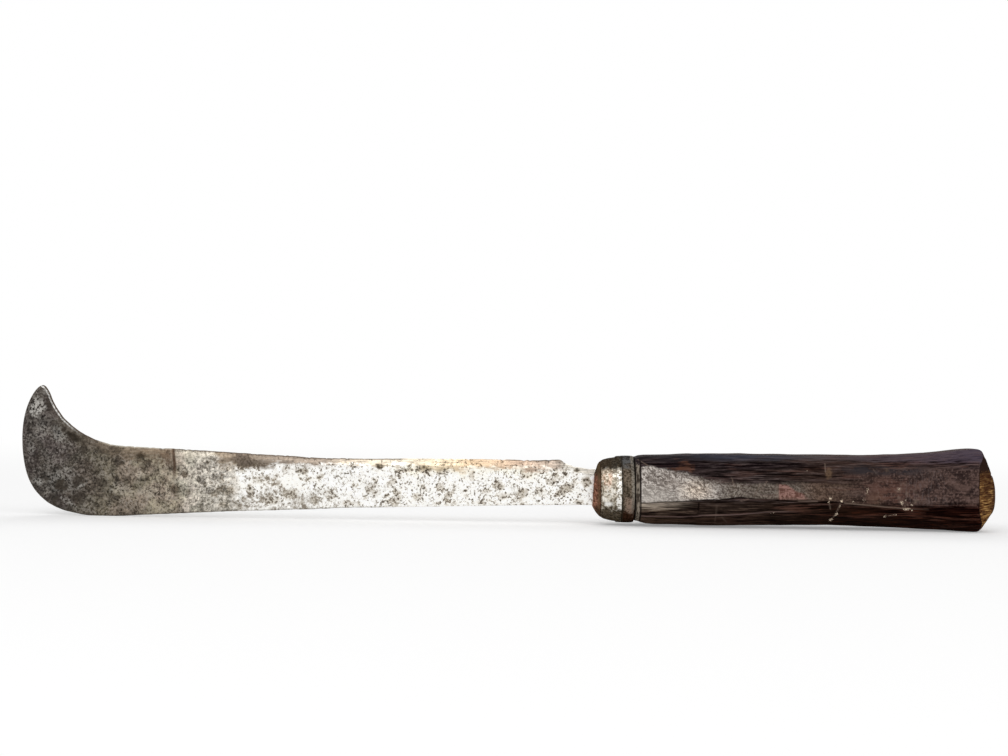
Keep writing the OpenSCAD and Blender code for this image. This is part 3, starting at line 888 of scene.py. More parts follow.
SCRATCHES = [
    (1.6, 15.6, 6.3, 12.9), (103.6, -6.4, 99.6, -15.4), (96.4, 13.8, 96.2, 9.4), (63, 0.2, 66.4, 5),
    (60, -2.5, 62.8, 3.6), (84.2, 4.2, 86.8, 0.5), (86.8, 0.5, 86, -2.4), (71.6, 3.6, 71.9, -3.8),
    (82.2, -5, 92, -5.2), (53, -5, 57, -4), (98, -5.6, 98.4, -9), (48.6, 6.6, 49.8, 2),
    (132.6, 1.2, 135, 1), (138.8, -1.9, 142.2, -1.3), (139.6, -3.2, 143.4, -2.6), (133.4, -5.6, 136.4, -6),
    (137, -6.6, 141.6, -6), (134, -7.2, 136, -7.4), (128, -12.6, 131.6, -12), (74, -3.6, 85, -3.9),
    (131.2, -0.4, 133.8, 0.4), (134, 3.2, 137, 3.4), (140.6, 0.4, 144.6, 0.9), (134.6, -4.2, 139, -4),
    (135.2, -8.4, 138.6, -6.2), (141, -4.6, 143.8, -5.2), (136, -0.6, 139.2, -1.8),
    (130.8, -2.4, 133.6, -3.6),
]
FAINT_SCRATCHES = [(41, -7.5, 40.6, -15.6), (44, -13.6, 46.8, -16.2), (120.4, 11, 121.8, 8.8)]
CROSS_CRACK = (31.9, -6.4, 31.6, -11.4)
CRACK_END = 64.0
RED_TOP = [(72.4, 3.8), (77.5, 2.8), (80.5, 0.3), (86.0, -1.7), (88.0, -3.6)]
RED_LOW = -4.3
PALE_LINE = [(105.6, -6.0), (118, -7.2), (127.6, -8.2), (139, -9.0), (148, -9.4)]

# How far marks stand out of the wood, in millimetres
MARK_HEIGHTS = {"chip": -0.22, "scratch": -0.07, "scar": -0.12, "ridge": 0.08}
CRACK_DEPTH = 0.5
GROOVE_DEPTH = 0.25


def pale_share(x, y, z, ragged, front, wood):
    """Where the handle is pale: on the front behind the ferrule, partly burnished wear and partly a painted
    sheen, and a little at the rear.
    """
    low, top = track(FRONT_FLAT_LOW, x), track(FRONT_FLAT_TOP, x)
    inside = ease(z, low, low + 0.5)
    inside *= 1 - ease(z + ragged, top - 1.0 - 1.4 * ease(x, 12, 30), top + 0.5)
    fading = 1 - 0.36 * ease(x + ragged * 3, 37, 46) - 0.1 * ease(x + ragged * 3, 52, 60)
    fading -= 0.3 * ease(x, 76, 104)
    pale = inside * fading * front * ease(x, 2.3, 3.0) * (1 - ease(x + ragged * 4, 98, 122))
    rear = blotted(x, -z, [(14, 0, 22, 9, 1)], ragged * 0.3) * ease(y, 2, 9) * wood
    return np.maximum(pale, 0.6 * rear)


def red_share(x, z, border):
    """The reddish square behind the pale flat."""
    top = track(RED_TOP, x)
    red = (1 - ease(z + border, top - 0.5, top + 0.4)) * ease(z, RED_LOW - 0.3, RED_LOW + 0.3)
    first, last = RED_TOP[0][0], RED_TOP[-1][0]
    return red * ease(x, first - 0.4, first + 0.4) * (1 - ease(x + 2 * border, 83.5, last))


def scratched(x, z):
    """Thin scratches, and the pale line along the lower arris towards the butt."""
    pale_line = [(*a, *b) for a, b in zip(PALE_LINE, PALE_LINE[1:])]
    kinds = (
        (SCRATCHES, 0.42, 0.7), (FAINT_SCRATCHES, 0.5, 0.3), (pale_line, 0.4, 1 - 0.8 * ease(x, 132, 148)),
    )
    strokes = [stroke(x, z, mark, width) * strength for marks, width, strength in kinds for mark in marks]
    return np.maximum.reduce(strokes)


def front_lines(rings, front):
    """Long cracks along the flat's lower arris, and a ridge between two grooves below it."""
    x, _, z = np.moveaxis(rings, -1, 0)
    crack = front * tent(z - track(FRONT_FLAT_LOW, x) + noise(rings, (3, 50, 50), 435) * 0.12, 0.4)
    crack *= (1 - 0.6 * ease(x, CRACK_END - 14, CRACK_END)) * (1 - ease(x, 76, 104)) * ease(x, 2, 3)
    gap = z - track(FRONT_MID_LOW, x)
    groove = front * (tent(gap - 0.95, 0.7) + tent(gap + 0.95, 0.6)) * (1 - ease(x, 66, 90)) * ease(x, 2, 4)
    ridge = front * tent(gap, 0.4) * (1 - ease(x, 70, 86)) * ease(x, 2, 3)
    return np.maximum(crack, stroke(x, z, CROSS_CRACK, 0.5) * front), groove, ridge


def handle_relief(rings, marks, crack, groove):
    """How far the wood's surface stands out: grain and wear of the sides, growth lines of the end."""
    push = rough_noise(rings, (26, 1.5, 1.5), 401) * 0.07 + rough_noise(rings, (11, 6, 6), 421, 2) * 0.16
    push += noise(rings, (14, 0.8, 0.8), 411) * 0.03 - CRACK_DEPTH * crack - GROOVE_DEPTH * groove
    for key, height in MARK_HEIGHTS.items():
        push += height * marks[key]
    push += 0.09 * noises(rings, (1.15, 441, 0.6), (0.75, 442, 0.4)) * marks["pale"]
    growth = noises(rings, ((3, 9, 1.1), 451, 0.09), ((2, 5, 0.55), 452, 0.05))
    growth -= 0.35 * ease(noise(rings, (4, 30, 1.6), 453), 0.55, 0.8)
    end = marks["end_grain"]
    return push * (1 - end) + growth * end


def handle_mesh():
    rings, wood_from, wood_to = handle_rings()
    x, y, z = np.moveaxis(rings, -1, 0)
    row = np.arange(len(rings))[:, None]
    wood = ((row >= wood_from) & (row < wood_to)) * np.ones_like(x)
    front = ease(-y, 2, 9) * wood
    end = ease(x + drawn_back(rings), RIM_X + 0.2, RIM_X + 0.9) * wood
    ragged = noises(rings, ((4, 1.2, 1.2), 431, 0.6), ((9, 3, 3), 432, 0.5))
    border = noises(rings, (2.0, 433, 0.25), (0.9, 434, 0.2))
    crack, groove, ridge = front_lines(rings, front)
    marks = {
        "pale": pale_share(x, y, z, ragged, front, wood),
        # Dark of the cracks, with painted shade in the grooves either side of the ridge
        "crack": np.maximum(crack, groove * 0.6),
        "ridge": ridge * (1 - end),
        "chip": blotted(x, z, CHIPS, border) * front,
        "scratch": scratched(x, z) * front,
        "scar": blotted(x, z, SCARS, border) * front,
        "red": red_share(x, z, border) * front,
        "amber": blotted(x, z, AMBER_STAINS, border * 1.6 + ragged * 0.5) * front,
        "end_grain": end,
    }
    push = handle_relief(rings, marks, crack, groove) * wood
    return skin("handle_grip", pushed(rings, push), sharp=50, **marks)


def rove_mesh():
    """Washer sunk in the butt, under the peened tail."""
    hole = TAIL_R + 0.05
    rings = turned([
        (ROVE_X, hole), (ROVE_X, ROVE_R - 0.1), (ROVE_X + 0.2, ROVE_R), (HEAD_X - 0.45, ROVE_R - 0.05),
        (HEAD_X - 0.12, ROVE_R - 0.35), (HEAD_X, ROVE_R - 1), (HEAD_X, hole), (ROVE_X, hole),
    ], 0.3)[:-1]
    flat = rings[..., 1:] + ROVE_SHIFT
    pit = pits(flat, 1.2, 0.5, 0.25, 0.6, 502)
    push = (noise(flat, 1.6, 501) * 0.06 - 0.1 * pit) * ease(np.hypot(rings[..., 1], rings[..., 2]), 3, 4)
    return skin("rove_washer", pushed(rings, push), pit=pit)


# Tail and peened head: corners round them, the tail's middle, and the head's root, lip and turn
TAIL_AROUND = 72
TAIL_MIDDLE = 175
HEAD_ROOT = 0.93
HEAD_LIP = 0.15
HEAD_TURN = 0.93

# Tang inside the handle: half its thickness, its corners' power, and its half height along X
TANG_HALF_W = 1.8
TANG_POWER = 5
TANG_HEIGHTS = [(ROOT_X, 6.5), (CAP_X, 5.7), (TENON_X, 4.8), (80, 3.85), (TAIL_X, 3.0)]


def tail_mesh():
    """Tang, round tail and peened head. Only the head shows."""
    rings = []
    for x, half_h in TANG_HEIGHTS:
        ring = circle(0, 1.0, TAIL_AROUND)
        reach = (np.abs(ring[:, 1:] / (TANG_HALF_W, half_h)) ** TANG_POWER).sum(axis=1)
        rings.append(ring * reach[:, None] ** (-1 / TANG_POWER) + (x, 0, 0))
    rings += [circle(x, TAIL_R, TAIL_AROUND) for x in (TAIL_X + 0.6, TAIL_MIDDLE, HEAD_X)]
    rings.append(circle(HEAD_X, HEAD_R * HEAD_ROOT, TAIL_AROUND))
    for turn in np.linspace(0, math.pi / 2, 10):
        height = HEAD_LIP + (HEAD_T - HEAD_LIP) * math.sin(turn)
        rings.append(circle(HEAD_X + height, HEAD_R * math.cos(turn * HEAD_TURN), TAIL_AROUND))
    rings = np.array(rings)
    blows = rings[..., 1:] + BLOW_SHIFT
    facets = -0.22 * pits(blows, 2.2, 0.9, 1.2, 2.0, 511) + 0.1 * noise(blows, 2.4, 512)
    rings[..., 0] += facets * ease(rings[..., 0], HEAD_X, HEAD_X + 0.4)
    rim = 1 + 0.07 * noise(rings / 2.6, 1, 513) * ease(rings[..., 0], HEAD_X - 0.1, HEAD_X)
    rings[..., 1:] *= rim[..., None]
    return skin("peened_tail", rings, closed=False, pit=np.zeros(rings.shape[:2]))


# Steel of the blade, along the share of its length from the hook's back to the shoulder
PIT_DARK = (60, 47, 34)
STEEL_FROM = -315.5
STEEL_TO = -22.0
STAIN_LINE_X = -237.1

# Colour of the steel, from dark patina on the hook to near white towards the shoulder, where a reflection is
# painted into the colour, and how lively its mottling is
STEEL_STOPS = [
    (0, 64, 55, 51), (0.07, 72, 62, 56), (0.12, 112, 96, 76), (0.17, 195, 166, 127), (0.235, 300, 260, 202),
    (0.268, 335, 292, 230), (0.284, 545, 505, 435), (0.33, 595, 555, 488), (0.37, 740, 695, 625),
    (0.38, 1000, 990, 955), (0.56, 1000, 990, 955), (0.68, 1000, 980, 935), (1, 1000, 980, 935),
]
MOTTLE_STOPS = [(0, 0.5), (0.12, 0.5), (0.26, 0.48), (0.36, 0.56), (0.385, 0.06), (1, 0.05)]

# Stain along the cutting edge: its colour, its strength and its depth in centimetres
STAIN_STOPS = [
    (0, 80, 66, 55), (0.13, 85, 66, 46), (0.18, 185, 140, 98), (0.26, 185, 132, 90), (0.272, 560, 500, 410),
    (0.325, 600, 540, 440), (0.34, 240, 190, 120), (0.385, 95, 71, 45), (0.405, 105, 79, 50),
    (0.44, 230, 178, 134), (0.53, 310, 245, 190), (0.58, 560, 470, 360), (0.665, 760, 670, 530),
    (0.73, 800, 670, 480), (0.79, 680, 500, 320), (0.87, 550, 390, 280), (0.945, 460, 370, 300),
    (0.957, 800, 750, 660), (1, 740, 680, 590),
]
STAIN_POWER = [(0, 0.3), (0.14, 0.55), (0.26, 0.8), (0.275, 0.35), (0.33, 0.4), (0.345, 0.95), (1, 0.92)]
STAIN_REACH = [
    (0, 0.4), (0.27, 0.55), (0.33, 0.3), (0.37, 0.55), (0.39, 0.62), (0.45, 0.44), (0.53, 0.3),
    (0.565, 0.28), (0.66, 0.34), (0.72, 0.5), (0.94, 0.46), (0.955, 0.28), (1, 0.28),
]

# Strength of the dark lines along the edge and along the spine
EDGE_LINE = [
    (0, 0.85), (0.065, 0.85), (0.075, 0.5), (0.095, 0.9), (0.125, 0.9), (0.14, 0), (0.265, 0), (0.275, 0.7),
    (0.34, 0.9), (0.55, 0.85), (0.665, 0.6), (0.68, 0), (0.83, 0), (0.88, 0.45), (0.91, 0.9), (0.945, 0.8),
    (0.957, 0.1), (1, 0.3),
]
SPINE_LINE = [(0, 0.65), (0.36, 0.6), (0.4, 0.45), (0.64, 0.4), (0.68, 0), (1, 0.1)]


def steel_patina(s):
    """Uneven patina, with a net of paler scale on the hook and spots that are scoured clean, over steel
    painted near white in its middle as a painted reflection.
    """
    base = (s.spread + s.drift.step(0.3, 0.7, -0.009, 0.009)).ramp(STEEL_STOPS)
    swing = s.cloud.step(0.36, 0.64, -0.35, 0.35) + s.mottle.step(0.37, 0.63, -0.8, 0.8)
    swing += s.fine.step(0.38, 0.62, -0.6, 0.6)
    swing = swing * s.spread.level(MOTTLE_STOPS) + s.bright.span(1, 1.045)
    hue = s.grain(75, 2).blend(0.4, 0.6, (1050, 985, 1000), (985, 1000, 940))
    base = base.tint(swing.most(0.12)).tint(hue, s.bright.step(0, 0.5, 0.8, 0))
    vein = abs(s.medium - 0.5).step(0.055, 0.01) * s.fine.step(0.42, 0.52)
    lift = (s.fine.step(0.53, 0.62) * 0.75).most(vein) * s.bright.span(0.5, 0)
    base = base.paint((360, 330, 295), lift * s.cloud.step(0.4, 0.6, 0.2, 1))
    base = base.tint((300, 270, 240), s.fine.step(0.48, 0.38) * s.bright.span(0.75, 0.05))
    clean = s.spread.blend(0.12, 0.2, (540, 520, 480), (520, 465, 375))
    clean = s.bright.between(clean, (950, 920, 860))
    return base.paint(clean, s.worn * s.fine.step(0.4, 0.56) * 0.85)


def steel_specks(s, base):
    """Film over the blotches, and irregular dark specks that crowd in them."""
    spoiled = s.dirt.most(s.cloud.step(0.44, 0.33, 0, 0.8))
    film = spoiled * s.mottle.step(0.36, 0.52, 0.35, 1)
    base = base.tint(s.bright.between((290, 250, 210), (430, 375, 295)), film * s.bright.span(0.9, 0.78))
    thick = s.grit + spoiled * 0.09 + s.drift.step(0.4, 0.6, -0.02, 0.02)
    thick += s.spread.window(0.66, 0.82, 0.04) * 0.009 + s.spread.step(0.90, 0.96, 0, 0.008)
    thick += s.spread.window(0.42, 0.5, 0.03) * s.z.step(-1, 2, 0, -0.018)
    faint = thick.step(0.549, 0.58) * s.bright.span(0.25, 0.8)
    base = base.paint(s.bright.between((120, 100, 80), (370, 300, 215)), faint)
    speck = thick.step(0.611, 0.631) * s.worn.span(1, 0.5)
    pit = s.mark("pit").step(0.2, 0.85) * s.medium.step(0.38, 0.6)
    base = base.paint(PIT_DARK, speck * s.bright.span(0.6, 0.88))
    return base.paint(PIT_DARK, pit * s.bright.span(0.45, 0.22)), film, speck


def edge_stain(s, base, speck):
    """Stain under the edge, streaked along the blade, and a golden cast round it."""
    streaks = s.grain((110, 900, 1500), 3, 0.6).step(0.38, 0.62, 0.66, 1.2)
    stain = s.spread.ramp(STAIN_STOPS).tint(streaks).paint(PIT_DARK, speck * 0.6)
    golden = s.spread.window(0.66, 0.92, 0.05) * s.ragged.step(10.5, 4.5)
    depth = s.ragged - s.spread.level(STAIN_REACH) * 10
    base = base.tint((1000, 955, 850), golden * 0.85)
    base = base.paint(stain, depth.step(1.8, -1.3) * s.spread.level(STAIN_POWER))
    return base.tint((330, 290, 220), s.dirt * s.gap.step(7, 4) * 0.85)


def tan_haze(s, base):
    """Tan haze over the front of the bright part, and along its spine."""
    tawny = s.spread.step(0.44, 0.39, 0, 0.75) + s.spread.step(0.57, 0.5, 0, 0.25)
    tawny = tawny * s.spread.step(0.335, 0.35) * (s.gap + s.ragged * 0.5).step(15, 6)
    base = base.paint((360, 285, 225), tawny * s.fine.step(0.35, 0.6, 0.2, 0.6))
    haze = (s.z + s.uneven * 0.8).step(1.2, -3) * s.spread.step(0.6, 0.5) * s.spread.step(0.27, 0.31)
    haze = haze * s.cloud.step(0.56, 0.44, 0.25, 1) * s.grit.step(0.37, 0.6, 0.12, 0.85)
    return base.paint(s.spread.blend(0.36, 0.4, (165, 150, 118), (330, 285, 230)), haze)


def steel_lines(s, base):
    """Thin lines along the spine and the edge, and the edge's glint on the hook."""
    rim = s.mark("spine_gap").step(0.9, 0.1) * s.spread.level(SPINE_LINE)
    glint = s.gap.step(1.45, 1.05) * s.gap.step(0.45, 0.75) * s.spread.step(0.112, 0.06)
    ground = s.gap.step(0.8, 0.3) * s.spread.step(0.12, 0.15) * s.spread.step(0.268, 0.262)
    edge = (s.gap + s.fine.step(0.3, 0.7, -0.2, 0.2)).step(0.85, 0.35) * s.spread.level(EDGE_LINE)
    base = base.paint((120, 105, 80), rim)
    base = base.paint((660, 650, 620), glint * s.fine.step(0.4, 0.52, 0.35, 0.95))
    return base.paint((420, 385, 320), ground * 0.75).paint((85, 62, 45), edge)


def stain_line(s, base):
    """Brown stain line across the blade, and the warm patch in front of it."""
    line = s.x + s.drift.step(0.3, 0.7, -0.7, 0.7) - STAIN_LINE_X
    band = abs(line).step(1.3, 0.3) * s.ragged.step(19, 9)
    warm = s.spread.step(0.2, 0.255) * s.spread.step(0.268, 0.264) * s.ragged.step(13, 6)
    base = base.paint((78, 47, 30), band * 0.92)
    return base.paint((185, 125, 85), warm * s.fine.step(0.35, 0.6, 0.5, 0.12))


def blade_steel():
    s = Shader(
        "forged_steel", drift=(60,), fine=(900, 4, 0.7), grit=(850, 4, 0.72, (2, 0.4)),
        medium=(300, 3, 0.6, (4, 1)), cloud=(115, 4, 0.62), mottle=(260, 5, 0.78),
    )
    s.spread = s.x.line(STEEL_FROM, STEEL_TO)
    # Zone of the blade painted near white: a painted reflection over the clean steel
    s.bright = s.spread.step(0.27, 0.385)
    s.dirt, s.worn, s.gap = s.mark("dirt"), s.mark("worn"), s.mark("edge_gap")
    s.uneven = s.grain((150, 300, 300), 4, 0.6).step(0.3, 0.7, -2, 2)
    s.ragged = s.gap + s.uneven
    base, film, speck = steel_specks(s, steel_patina(s))
    base = edge_stain(s, base, speck)
    for layer in (tan_haze, steel_lines, stain_line):
        base = layer(s, base)
    dull = film.most(speck)
    roughness = s.bright.span(0.52, 0.36) + dull * 0.22
    normal = s.bump((s.fine - speck) * 0.6, 0.13, s.bump(s.grain(2400, 2), 0.03))
    return s.finish(base, roughness, normal, dull.span(0.9, 0.6), 0.3)


# Old irons: dark, middle and light colour, colour of their specks, how metallic and how rough
IRONS = {
    "peened_iron": ((50, 40, 32), (170, 150, 130), (360, 330, 290), (300, 220, 160), 0.8, 0.42),
    "bolster_rust": ((62, 24, 14), (250, 105, 66), (490, 270, 190), (400, 155, 90), 0.15, 0.6),
    # The cap's light colours stand partly for a painted reflection on its worn middle
    "cap_iron": ((150, 125, 88), (520, 460, 365), (900, 850, 760), (760, 680, 560), 0.8, 0.42),
    "ring_iron": ((38, 29, 19), (112, 85, 60), (195, 155, 116), (200, 158, 118), 0.4, 0.5),
    "rove_iron": ((40, 28, 20), (130, 100, 80), (260, 220, 190), (220, 120, 70), 0.7, 0.5),
}


def rusted_iron(name, patina=None):
    """Old iron, mottled from dark to light, with fine rust specks and the pits of the mesh. A patina
    function changes its colour by place, painted light and shade among it, and says where the iron is made
    dull so that it doesn't mirror the studio over that painting."""
    dark, mid, light, speckle, metallic, rough = IRONS[name]
    s = Shader(name, cloud=(260, 4, 0.62), fine=(1100, 3, 0.62))
    base = (s.cloud * 0.4 + s.fine * 0.6).ramp([(0.41, *dark), (0.49, *mid), (0.57, *light)])
    base = base.paint(speckle, s.fine.step(0.52, 0.62) * 0.5).paint(dark, s.fine.step(0.46, 0.37) * 0.6)
    base = base.paint(dark, s.mark("pit").step(0.08, 0.7) * 0.5)
    if patina:
        base, dull = patina(s, base)
        metallic = dull.span(metallic, 0)
    roughness = s.fine.step(0.3, 0.7, rough - 0.1, rough + 0.12)
    normal = s.bump(s.fine, 0.16, s.bump(s.cloud, 0.3))
    return s.finish(base, roughness, normal, metallic, 0.0)


def bolster_patina(s, base):
    """Red rust in the middle, painted over with dark olive-brown shade above and below, a golden band near
    the cap, and a dark line against the cap.
    """
    height = s.z + s.cloud.step(0.3, 0.7, -1.5, 1.5)
    above, below = height.step(5.5, 8.5), height.step(-7.5, -11.5)
    golden = s.x.step(CAP_X - 2.2, CAP_X - 1.2) * s.cloud.step(0.36, 0.54, 0.1, 0.6)
    # Painted shade above and below, which also makes the iron dull there
    base = base.paint(s.fine.blend(0.42, 0.58, (30, 20, 12), (85, 62, 40)), above)
    base = base.paint(s.fine.blend(0.42, 0.58, (36, 24, 15), (90, 64, 44)), below)
    base = base.paint((70, 28, 16), s.grain(420, 3, 0.65).step(0.40, 0.56, 0.6, 0))
    base = base.paint((135, 92, 50), golden)
    return base.paint((36, 24, 15), s.x.step(CAP_X - 0.6, CAP_X - 0.2) * 0.8), above.most(below)


def cap_patina(s, base):
    """Bright middle, worn iron with a painted reflection on it, rusty towards the front, painted shade above
    and below, a painted highlight on the lip, a painted glare low on the front, and a painted highlight
    along the front edge.
    """
    blots = s.grain((420, 420, 380), 3, 0.6)
    # Dark and light blots over the middle; the light ones are part of its painted reflection
    base = base.paint((175, 145, 105), blots.step(0.49, 0.39) * 0.78)
    base = base.paint((970, 940, 860), blots.step(0.54, 0.61) * 0.7)
    wander = s.grain((60, 60, 240)).step(0.36, 0.64, -0.9, 0.9)
    # Painted highlight in a narrow wavering band on the lip
    lip_highlight = (s.x + wander - s.z.step(4, 10, 0, 1.2)).step(LIP_X - 0.2, LIP_X + 0.4)
    base = base.paint((970, 950, 900), lip_highlight * (s.fine + blots).step(0.88, 1.04))
    behind = s.x.step(LIP_X - 1, LIP_X - 4)
    rust = s.z.step(-2, 5) * behind * s.cloud.step(0.42, 0.56, 0.15, 0.8)
    base = base.paint(s.fine.blend(0.40, 0.58, (260, 135, 75), (660, 460, 335)), rust)
    glare = s.z.step(-8.2, -7.2) * s.z.step(-5.2, -6.4) * behind * s.x.step(CAP_X + 1.2, CAP_X + 2.4)
    base = base.paint((960, 940, 900), glare * 0.9)
    # Painted shade above and below, which also makes the iron dull there
    height = s.z + s.cloud.step(0.3, 0.7, -1.6, 1.6)
    high = height - s.x.step(LIP_X - 3, LIP_X) * 1.6
    shade = high.step(8.8, 11.2).most(height.step(-7.8, -10.4))
    shade_tint = s.fine.blend(0.40, 0.60, (30, 21, 12), (125, 92, 56)).tint(high.step(8, 12, 1, 0.42))
    base = base.paint(shade_tint, shade * 0.96)
    # Painted highlight along the front edge, speckled with dark
    front_edge_highlight = s.x.step(CAP_X + 0.9, CAP_X + 0.4) * abs(s.z).step(11, 9, 0.2, 0.7)
    return base.paint(s.fine.blend(0.42, 0.62, (100, 65, 40), (500, 420, 320)), front_edge_highlight), shade


def ring_patina(s, base):
    """Painted shade in the seam against the cap, a painted highlight on the rear edge, grey above as a
    painted reflection, and ruddy below.
    """
    height = s.z + s.cloud.step(0.3, 0.7, -2, 2)
    above, below = height.step(9.8, 14.6), height.step(-9.5, -12.5)
    # Grey above: a painted reflection of the sky
    base = base.paint((s.fine + s.cloud).blend(0.86, 1.12, (20, 18, 16), (112, 114, 116)), above * 0.9)
    lean = s.x.step(-6.2, -4) * s.z.step(-2, -5.5) * s.fine.step(0.40, 0.56, 0.3, 0.95)
    base = base.paint((330, 235, 180), lean)
    base = base.paint(s.fine.blend(0.42, 0.6, (24, 10, 5), (66, 30, 17)), below)
    # Paler rear edge: a painted highlight
    rear = s.x.step(-2.4, -1.6) * height.step(-12, -8) * s.fine.step(0.40, 0.56, 0.25, 0.95)
    base = base.paint((270, 240, 200), rear)
    # Dark band against the cap: painted shade in the seam
    return base.paint((30, 24, 16), s.x.step(RING_X + 1.1, RING_X + 0.4) * 0.8), above.most(below)


# Colours of the wood from its shoulder to its rim, on the top facet, side, low facet and underside. The top
# facet's bluish colours are a painted reflection of the sky, and the darker low facet and underside are
# partly painted shade
WOOD_L = 176.0
WOOD_TOP = [
    (0, 11, 8, 9), (0.13, 30, 28, 33), (0.26, 42, 44, 62), (0.4, 47, 48, 63), (0.52, 81, 66, 67),
    (0.72, 84, 61, 69), (0.86, 88, 63, 77), (1, 80, 61, 84),
]
WOOD_SIDE = [
    (0, 27, 17, 17), (0.15, 35, 23, 22), (0.26, 34, 24, 23), (0.42, 37, 25, 22), (0.52, 46, 27, 21),
    (0.66, 56, 34, 28), (0.78, 66, 39, 34), (1, 54, 37, 38),
]
WOOD_LOW = [(0, 36, 22, 17), (0.26, 38, 24, 18), (0.6, 18, 8, 5), (1, 17, 4, 3)]
WOOD_UNDER = [(0, 110, 66, 42), (0.22, 50, 26, 18), (0.4, 22, 12, 8), (1, 12, 3, 2)]

# Shift in cells that rakes the creases of the pale flat, their colours, and those of the growth lines
CREASE_SHIFT = (0.22, 0, 0.3)
FLAT_STOPS = [(0.2, 150, 124, 108), (0.5, 360, 314, 280), (0.8, 720, 660, 605)]
AMBER_STOPS = [(0.38, 32, 10, 4), (0.5, 175, 76, 26), (0.6, 440, 260, 95)]


def wood_zones(s):
    """Zones of colour from the top strip down to the underside, with a painted reflection of the sky along
    the top strip, the low facet and underside darker partly as painted shade, and painted shade at the front
    end of the top strip.
    """
    wavy = s.spread + s.figure.step(0.3, 0.7, -0.03, 0.03)
    # Low facet and underside darker, partly as painted shade
    base = s.height.blend(-4.2, -6.2, wavy.ramp(WOOD_SIDE), wavy.ramp(WOOD_LOW))
    base = base.paint(wavy.ramp(WOOD_UNDER), s.height.step(-11.8, -13.8))
    upper = s.height + s.spread.step(0.55, 0.8, -1.3, 0)
    # Top strip: a painted reflection of the sky
    base = base.paint(wavy.ramp(WOOD_TOP), upper.step(13.4, 14.8) * s.y.step(-5.8, -7.8))
    deep = s.height.step(14.5, 13.5) * s.height.step(10.5, 12.2) * s.spread.step(0.65, 0.4)
    shade = s.height.step(17.2, 16) * s.height.step(12.8, 13.8) * s.spread.step(0.24, 0.14)
    return base.paint((12, 7, 9), deep.most(shade) * 0.8)


def wood_grain(s, base):
    """Dark and light streaks, a ruddy figure, and light on the low facet behind the ferrule."""
    calm = s.height.step(13.8, 15.5, 1, 0.5)
    base = base.tint((120, 95, 100), s.streak.step(0.50, 0.41) * calm * 0.95)
    pale = s.streak.step(0.53, 0.61) * s.figure.step(0.36, 0.56, 0.4, 1) * calm * 0.78
    low_tint = s.spread.blend(0.3, 0.6, (165, 112, 84), (80, 22, 11))
    pale_tint = s.height.blend(-4, -8, s.spread.between((150, 118, 118), (150, 100, 86)), low_tint)
    ruddy = s.figure.step(0.50, 0.62) * s.streak.step(0.42, 0.54) * s.spread.step(0.15, 0.6, 0.25, 0.6)
    base = base.paint(pale_tint, pale).paint((96, 42, 30), ruddy * calm)
    lit = s.height.step(-11.8, -8) * s.height.step(-4, -5.5) * s.spread.step(0.19, 0.07)
    lit_tint = s.height.blend(-10.4, -6.2, (95, 66, 46), (420, 350, 280))
    lit_tint = lit_tint.tint(s.streak.step(0.40, 0.60, 0.6, 1.25))
    base = base.paint(lit_tint, lit * s.figure.step(0.38, 0.54, 0.6, 1))
    return base.paint((5, 2, 2), s.fibre.step(0.46, 0.34) * calm * 0.6)


def rubbed_skin(s, base):
    """Skin rubbed bare towards the butt, redder in the middle, with specks and cross hatching."""
    skin_tone = s.soft * 0.65 + s.speckle * 0.35
    worn = skin_tone.blend(0.41, 0.59, (26, 15.5, 13.5), (128, 79, 66))
    red = s.x.window(118, 138, 12) * s.height.window(-7, 5.6, 4) * s.soft.step(0.40, 0.56, 0.1, 0.9)
    hatch = s.grain((1400, 1400, 220), 3, 0.62).step(0.5, 0.6) * s.x.window(135, 158, 9)
    worn = worn.paint((150, 72, 54), red).paint((18, 10, 10), s.streak.step(0.47, 0.38, 0, 0.6))
    worn = worn.paint((215, 140, 122), s.speckle.step(0.54, 0.64, 0, 0.5))
    worn = worn.paint((175, 135, 130), hatch * 0.4)
    rubbed = s.spread.step(0.54, 0.72) * s.height.step(-9, -5) * s.height.step(12.8, 9.5)
    gloom = s.x.window(104, 146, 10) * s.height.window(8.5, 12.5, 1.6) * s.soft.step(0.42, 0.54, 0.2, 0.8)
    return base.paint(worn, rubbed * 0.85).paint((20, 21, 26), gloom)


